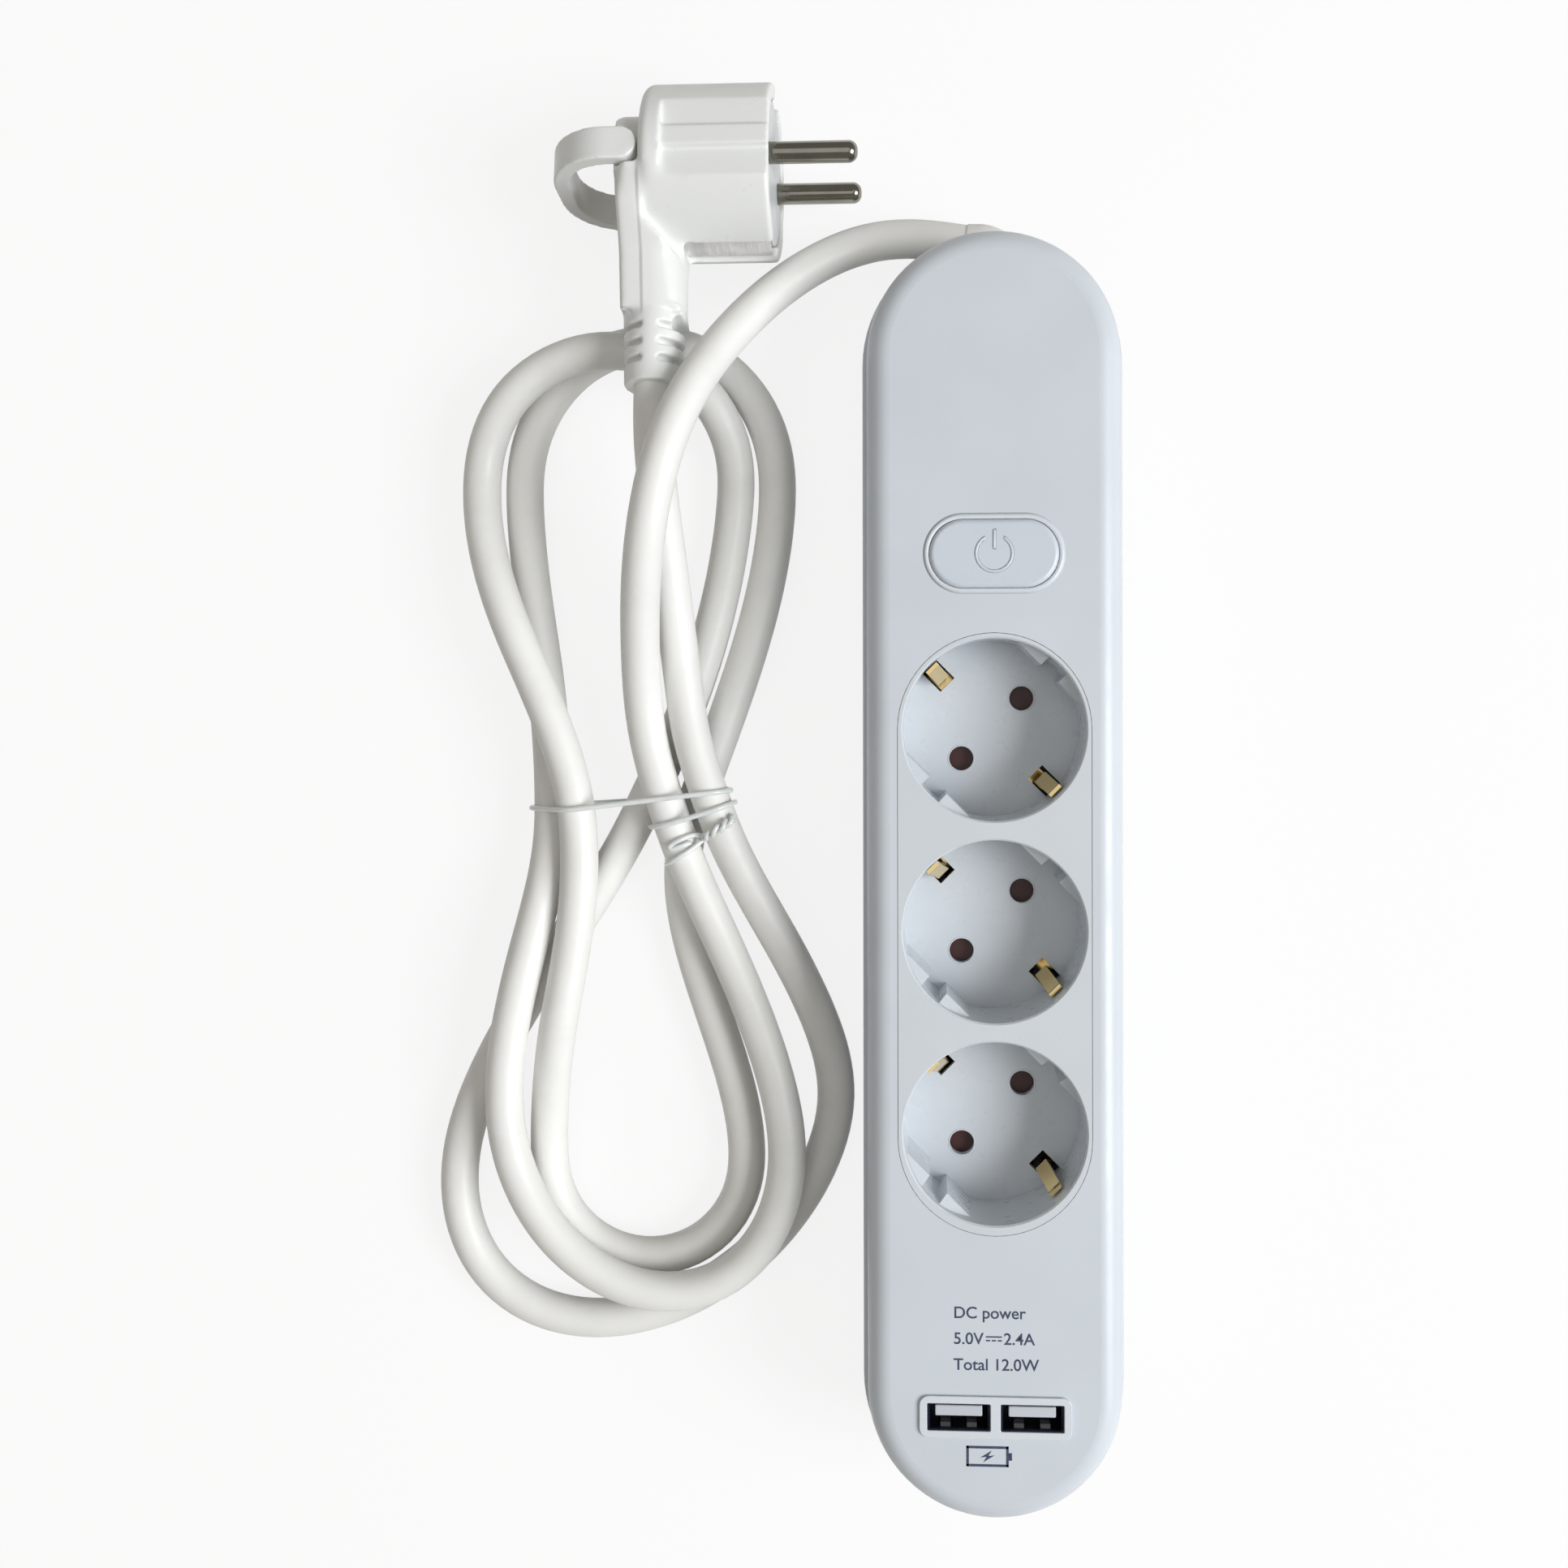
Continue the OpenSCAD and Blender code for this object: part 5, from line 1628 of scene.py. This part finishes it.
@dataclass
class SwitchTrim:
    """The switch's trim: a collar in the chamfer round the button and the bead of its sign.

    The collar's rows run from its foot in the cover, over its top, to its foot beside the button.
    Each one gives how far it lies outside the button and its height. Those between the rising
    heights stand higher towards the sockets. The bead's ends give how far each row lies past the
    course and its share of the bead's radius.
    """

    centre_y: float = 68.5
    face_z: float = 40.4
    button: Pair = (27.7, 14.7)
    rows: tuple[Pair, ...] = (
        (0.3, 38.6), (1.26, 40.02), (0.16, 39.76), (0.06, 39.66), (0.06, 38.6))
    front_rise: float = 0.2
    rising: Pair = (39.0, 40.0)
    flat: float = 0.1
    sign_r: float = 3.85
    sign_open: float = 2.15
    sign_bar: Pair = (1.15, 4.85)
    bead_r: float = 0.38
    bead_rise: float = 0.17
    bead_ends: tuple[Pair, ...] = ((0.2, 0.4), (0.12, 0.85))
    arc_steps: int = 60

    def build(self) -> list[bpy.types.Object]:
        """Makes the collar and the bead."""
        return [self._collar(), self._sign()]

    def _collar(self) -> bpy.types.Object:
        """The collar, lighter than the shell as a painted highlight, which stands a little higher
        on the side of the sockets.
        """
        rows = []
        for grow, z in self.rows:
            width, height = (size + 2 * grow for size in self.button)
            line = rounded_box(0.0, self.centre_y, width, height, height / 2 - self.flat, 16)
            rise = self.front_rise if self.rising[0] < z < self.rising[1] else 0.0
            rows.append([Vector((x, y, z + rise * max(0.0, (self.centre_y - y) / height * 2)))
                         for x, y in line])
        return fitted("switch_collar", [lofted(rows, closed=True)], Finishes.bezel)

    def _sign(self) -> bpy.types.Object:
        """The standby sign's bead, which stands in the button's groove."""
        middle = Vector((0.0, self.centre_y, self.face_z - self.bead_r + self.bead_rise))
        start = math.asin(self.sign_open / self.sign_r)
        arc = [start + (math.tau - 2 * start) * k / self.arc_steps
               for k in range(self.arc_steps + 1)]
        courses = [[middle + Vector((math.sin(a), math.cos(a), 0.0)) * self.sign_r for a in arc],
                   [middle + Vector((0.0, y, 0.0)) for y in self.sign_bar]]
        shapes = []
        for course in courses:
            first, last = course[0], course[-1]
            out, on = (first - course[1]).normalized(), (last - course[-2]).normalized()
            ends = [self.bead_r * share for _, share in self.bead_ends]
            radii = [*ends, *[self.bead_r] * len(course), *reversed(ends)]
            course = [*(first + out * past for past, _ in self.bead_ends), *course,
                      *(last + on * past for past, _ in reversed(self.bead_ends))]
            shapes.append(Sweep(course, radii, 12).shape())
        return mounted(make_piece("standby_sign", *joined(shapes), Finishes.button), Body.BUTTON)


@dataclass
class ChargingPorts:
    """The trim of the two ports: bezel, rims, tongue fronts and the shields' spring tabs."""

    bezel_size: Pair = (32.3, 8.9)
    bezel_corner: float = 1.9
    window: Pair = (13.5, 5.8)
    window_corner: float = 0.45
    rim: Pair = (0.42, 0.24)
    rim_z: Pair = (39.9, 40.36)
    tongue: tuple[Point, Point] = ((-5.0, -0.05, 38.9), (5.0, 2.2, 39.75))
    tongue_corner: float = 0.3
    tongue_edge: float = 0.15
    bezel_z: float = 40.44
    bezel_edge: float = 0.14
    bezel_core: float = 0.08
    port_y: float = -115.0
    port_x: float = 7.8
    inner_l: float = 5.0
    spring_at: float = 2.8
    spring_w: float = 2.1
    tops: tuple[Pair, ...] = (
        (39.5, 0.1), (38.9, 0.75), (38.0, 1.15), (36.8, 1.0), (34.5, 0.05))
    thickness: float = 0.25

    def build(self) -> list[bpy.types.Object]:
        """Makes the bezel, the rims, the tongue fronts and the springs."""
        return [self._bezel(), self._rims(), self._tongues(), self._springs()]

    def _bezel(self) -> bpy.types.Object:
        """A thin raised frame with soft edges and a window for each port."""
        curve = bpy.data.curves.new("bezel_outline", "CURVE")
        curve.dimensions, curve.fill_mode = "2D", "BOTH"
        curve.extrude, curve.bevel_depth = self.bezel_core * MM, self.bezel_edge * MM
        curve.bevel_resolution = 3
        edge = self.bezel_edge
        outlines = [rounded_box(0.0, self.port_y, self.bezel_size[0] - 2 * edge,
                                self.bezel_size[1] - 2 * edge, self.bezel_corner)]
        outlines += [rounded_box(side * self.port_x, self.port_y, self.window[0] + 2 * edge,
                                 self.window[1] + 2 * edge, self.window_corner)
                     for side in (-1, 1)]
        for outline in outlines:
            spline = curve.splines.new("POLY")
            spline.points.add(len(outline) - 1)
            for point, (x, y) in zip(spline.points, outline):
                point.co = (x * MM, y * MM, 0.0, 1.0)
            spline.use_cyclic_u = True
        mesh = mesh_of(curve, "bezel_outline")
        mesh.transform(Matrix.Translation((0.0, 0.0, self.bezel_z * MM)))
        # Its finish is lighter than the shell: a painted highlight.
        piece = piece_of(mesh, "port_bezel", Finishes.bezel)
        return mounted(piece, Body.STRIP)

    def _rims(self) -> bpy.types.Object:
        """The dark turned-in edges of the two shields as one piece."""
        (low, high), (foot, brim) = self.rim_z, self.rim
        shapes = []
        for side in (-1, 1):
            rows = [raised(rounded_box(side * self.port_x, self.port_y,
                                       self.window[0] - 2 * inset, self.window[1] - 2 * inset,
                                       self.window_corner), z)
                    for inset, z in ((0.0, low), (0.0, high), (brim, high), (foot, low))]
            shapes.append(lofted(rows, closed=True))
        return fitted("port_rims", shapes, Finishes.shield, smooth=False)

    def _tongues(self) -> bpy.types.Object:
        """The light fronts of the two contact tongues as one piece."""
        low, high = (Vector(corner) for corner in self.tongue)
        size, middle, edge = high - low, (high + low) / 2, self.tongue_edge
        shapes = []
        for side in (-1, 1):
            rows = [raised(rounded_box(side * self.port_x + middle.x, self.port_y + middle.y,
                                       size.x - 2 * inset, size.y - 2 * inset,
                                       self.tongue_corner), z)
                    for inset, z in ((0.0, low.z), (0.0, high.z - edge), (edge, high.z))]
            shapes.append(lofted(rows))
        return fitted("port_tongue_fronts", shapes, Finishes.tongue, smooth=False)

    def _springs(self) -> bpy.types.Object:
        """The four springs as one piece."""
        wall_y, half = self.port_y - self.inner_l / 2, self.spring_w / 2
        corners = [(-half, 0.0), (half, 0.0), (half, -self.thickness), (-half, -self.thickness)]
        middles = [port * self.port_x + tab * self.spring_at
                   for port in (-1, 1) for tab in (-1, 1)]
        return fitted("port_springs", [
            lofted([raised([(middle + x, wall_y + bulge + y) for x, y in corners], z)
                    for z, bulge in self.tops]) for middle in middles],
            Finishes.spring, smooth=False)


@dataclass
class PrintedMarks:
    """The generic printing by the ports: the output rating and a battery sign."""

    top_z: float = 40.0
    proud: float = 0.03
    sunk: float = 0.01
    text_x: float = -8.9
    rating_y: float = -99.6
    text_size: float = 3.5
    boldness: float = 0.035
    current_at: Pair = (-2.0, -98.65)
    current_line: Pair = (3.4, 0.5)
    dash: Pair = (0.9, -0.3)
    dash_pitch: float = 1.25
    dash_width: float = 0.3
    sign_at: Pair = (-1.7, -123.4)
    sign_size: Pair = (9.0, 4.4)
    sign_line: float = 0.55
    knob: Pair = (0.7, 1.6)
    bolt: tuple[Pair, ...] = ((0.9, 1.25), (-1.5, -0.25), (0.1, -0.05))

    def build(self) -> list[bpy.types.Object]:
        """Makes the lines of print and the signs."""
        return [self._text("DC power", self.text_x, -94.1, 0),
                self._text("Total 12.0W", self.text_x, -105.1, 1),
                self._text("5.0V", self.text_x, self.rating_y, 8),
                self._text("2.4A", 1.75, self.rating_y, 9),
                self._direct_current(), self._battery()]

    def _text(self, words: str, x: float, y: float, index: int) -> bpy.types.Object:
        """One run of print.

        Args:
            words: what it says.
            x: where it starts.
            y: its foot.
            index: its number, for its name.

        Returns:
            The piece.
        """
        font = bpy.data.curves.new(f"print_{index}", "FONT")
        font.body, font.size, font.extrude = words, self.text_size * MM, self.proud * MM / 2
        font.offset = self.boldness * MM
        mesh = mesh_of(font, f"print_{index}_shape")
        mesh.transform(Matrix.Translation(Vector((x, y, self.top_z + self.proud / 2)) * MM))
        return mounted(piece_of(mesh, f"print_{index}", Finishes.ink), Body.STRIP)

    def _direct_current(self) -> bpy.types.Object:
        """The sign for direct current: a line over three dashes."""
        x, y = self.current_at
        bars = [(x, *self.current_line)]
        bars += [(x + k * self.dash_pitch, *self.dash) for k in range(3)]
        return self._printed("direct_current_sign", [
            self._bar(start, y + up, start + length, y + up + self.dash_width)
            for start, length, up in bars])

    def _battery(self) -> bpy.types.Object:
        """A battery outline with a bolt in it."""
        (x, y), (w, h), line = self.sign_at, self.sign_size, self.sign_line
        a, b, c, d = x - w / 2, x + w / 2, y - h / 2, y + h / 2
        knob, half = self.knob[0], self.knob[1] / 2
        bars = [(a, c, b, c + line), (a, d - line, b, d), (a, c, a + line, d),
                (b - line, c, b, d), (b, y - half, b + knob, y + half)]
        outlines = [self._bar(*bar) for bar in bars]
        outlines += [[(x + way * dx, y + way * dy) for dx, dy in self.bolt] for way in (1, -1)]
        return self._printed("battery_sign", outlines)

    @staticmethod
    def _bar(left: float, low: float, right: float, high: float) -> list[Pair]:
        """The outline of an upright box."""
        return [(left, low), (right, low), (right, high), (left, high)]

    def _printed(self, name: str, outlines: Iterable[Sequence[Pair]]) -> bpy.types.Object:
        """Prints outlines on the cover as one piece.

        Args:
            name: the piece's name.
            outlines: the outlines.

        Returns:
            The new piece.
        """
        low, high = self.top_z - self.sunk, self.top_z + self.proud
        return fitted(name, [plate(outline, low, high) for outline in outlines], Finishes.ink,
                      smooth=False)


@dataclass
class Wiring:
    """The cores inside the strip, from the cord's end to the switch, the bars and the board."""

    wire_r: float = 1.45
    sides: int = 14
    cut: Point = (4.0, 103.6, 13.5)
    start: float = 0.45
    tab: Point = (5.0, 80.5, 18.5)
    tab_in_y: float = 56.5
    bar: Point = (6.71751, 49.0, 7.7)
    bar_low: float = -77.0
    board: Point = (10.2, -101.0, 23.0)
    board_rise: Pair = (12.0, 18.0)
    earth_path: tuple[Point, ...] = (
        (4.0, 103.15, 11.4), (5.0, 99.6, 11.1), (13.8, 80.5, 8.0), (13.8, 68.5, 6.5),
        (13.0, 58.5, 6.0), (4.0, 52.0, 6.7), (0.0, 46.0, 5.0), (0.0, 41.0, 5.0))

    def build(self) -> list[bpy.types.Object]:
        """Makes the live, neutral and earth cores."""
        return [self._core("live_wires", self._feeds(Side.LIVE.value), Finishes.brown),
                self._core("neutral_wires", self._feeds(Side.NEUTRAL.value), Finishes.blue),
                self._core("earth_wire", [self.earth_path], Finishes.green)]

    def _core(
        self, node: str, paths: Iterable[Sequence[Point]], finish: Finish
    ) -> bpy.types.Object:
        """Makes one core, or several of one colour, in the place of the plain ones.

        Args:
            node: the plain ones' name.
            paths: the points of each core.
            finish: what they are finished in.

        Returns:
            The new piece.
        """
        courses = [rounded_course(path, 6) for path in paths]
        return fitted(node + "_core", [
            Sweep(course, [self.wire_r] * len(course), self.sides).shape()
            for course in courses], finish, (node,))

    def _feeds(self, side: int) -> list[list[Point]]:
        """The three stretches on one side.

        Args:
            side: -1 for live and 1 for neutral.

        Returns:
            Their points.
        """
        x, y, z = self.cut
        tab_x, out_y, tab_z = self.tab
        bar_x, bar_top, bar_z = self.bar
        board_x, edge, board_z = self.board
        run, low = self.bar_low - edge, self.bar_low
        return [
            [(x + side * 1.75, y - self.start, z + 1), (x + side * 2.4, y - 5, z + 1.6),
             (side * tab_x, out_y + 6, tab_z + 3), (side * tab_x, out_y + 0.1, tab_z + 3)],
            [(side * tab_x, self.tab_in_y - self.start, tab_z + 3),
             (side * tab_x, self.tab_in_y - 3, tab_z + 2.4),
             (side * (tab_x + 1), self.tab_in_y - 5.5, 13.0),
             (side * bar_x, bar_top - 2, bar_z + 0.9), (side * bar_x, bar_top - 4.5, bar_z),
             (side * bar_x, bar_top - 7, bar_z)],
            [(side * bar_x, low + 8, bar_z), (side * bar_x, low + 3, bar_z + 0.5),
             (side * (board_x - 0.8), low - run * 7 / 24, self.board_rise[0]),
             (side * (board_x - 0.3), low - run * 2 / 3, self.board_rise[1]),
             (side * board_x, edge - 1.6, board_z - 3),
             (side * board_x, edge - 2, board_z - self.start)]]


@dataclass
class CarriedNodes:
    """The pieces whose solids are right as they are, each with its finish."""

    nodes: dict[str, bpy.types.Object]
    finishes: dict[str, Finish] = field(default_factory=lambda: {
        "bottom_cover": Finishes.shell, "top_cover": Finishes.shell,
        "socket_panel": Finishes.socket, "switch_button": Finishes.button,
        "shutter_1": Finishes.shutter, "shutter_2": Finishes.shutter,
        "shutter_3": Finishes.shutter, "live_busbar": Finishes.brass,
        "neutral_busbar": Finishes.brass, "earth_busbar": Finishes.brass,
        "switch_spring": Finishes.steel, "switch_body": Finishes.dark,
        "switch_tabs": Finishes.brass, "usb_board": Finishes.board,
        "usb_port_left": Finishes.shield, "usb_port_right": Finishes.shield,
        "usb_tongues": Finishes.tongue, "usb_contacts": Finishes.brass,
        "usb_transformer": Finishes.tape, "usb_capacitors": Finishes.sleeve,
        "board_screws": Finishes.steel, "case_screws": Finishes.steel,
        "cord_clamp": Finishes.socket, "clamp_screws": Finishes.steel,
        "plug_front": Finishes.front, "plug_pins": Finishes.nickel,
        "plug_earth_contact": Finishes.tin})

    def dress(self) -> None:
        """Gives each node its finish."""
        for name, finish in self.finishes.items():
            for place in self.nodes[name].material_slots:
                place.material = finish.material()
            LOG.info("%s: %s", name, finish.name)


def box_numbers(bounds: Any) -> list | float:
    """A box as plain lists of numbers."""
    if isinstance(bounds, (int, float)):
        return float(bounds)
    return [box_numbers(part) for part in bounds]


def main() -> None:
    """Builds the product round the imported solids."""
    logging.basicConfig(level=logging.INFO, format="%(name)s: %(message)s")
    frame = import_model()
    cad_box = box_numbers(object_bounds())
    StudioCamera().build()
    nodes = frame["nodes"]
    course_numbers = HankCourse()
    course = course_numbers.whole()
    run = CordRun(course, course_numbers)
    cord = run.build()
    sleeve = ElbowSleeve().build()
    tie = WireTie(course).build()
    plug = AngledPlug(nodes)
    plug_pieces = plug.build()
    CordEnd().build()
    SocketRow().build()
    SwitchTrim().build()
    ChargingPorts().build()
    PrintedMarks().build()
    Wiring().build()
    CarriedNodes(nodes).dress()
    Studio().build()
    {"cad": cad_box, "visual": box_numbers(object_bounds())}


if __name__ == "__main__":
    main()
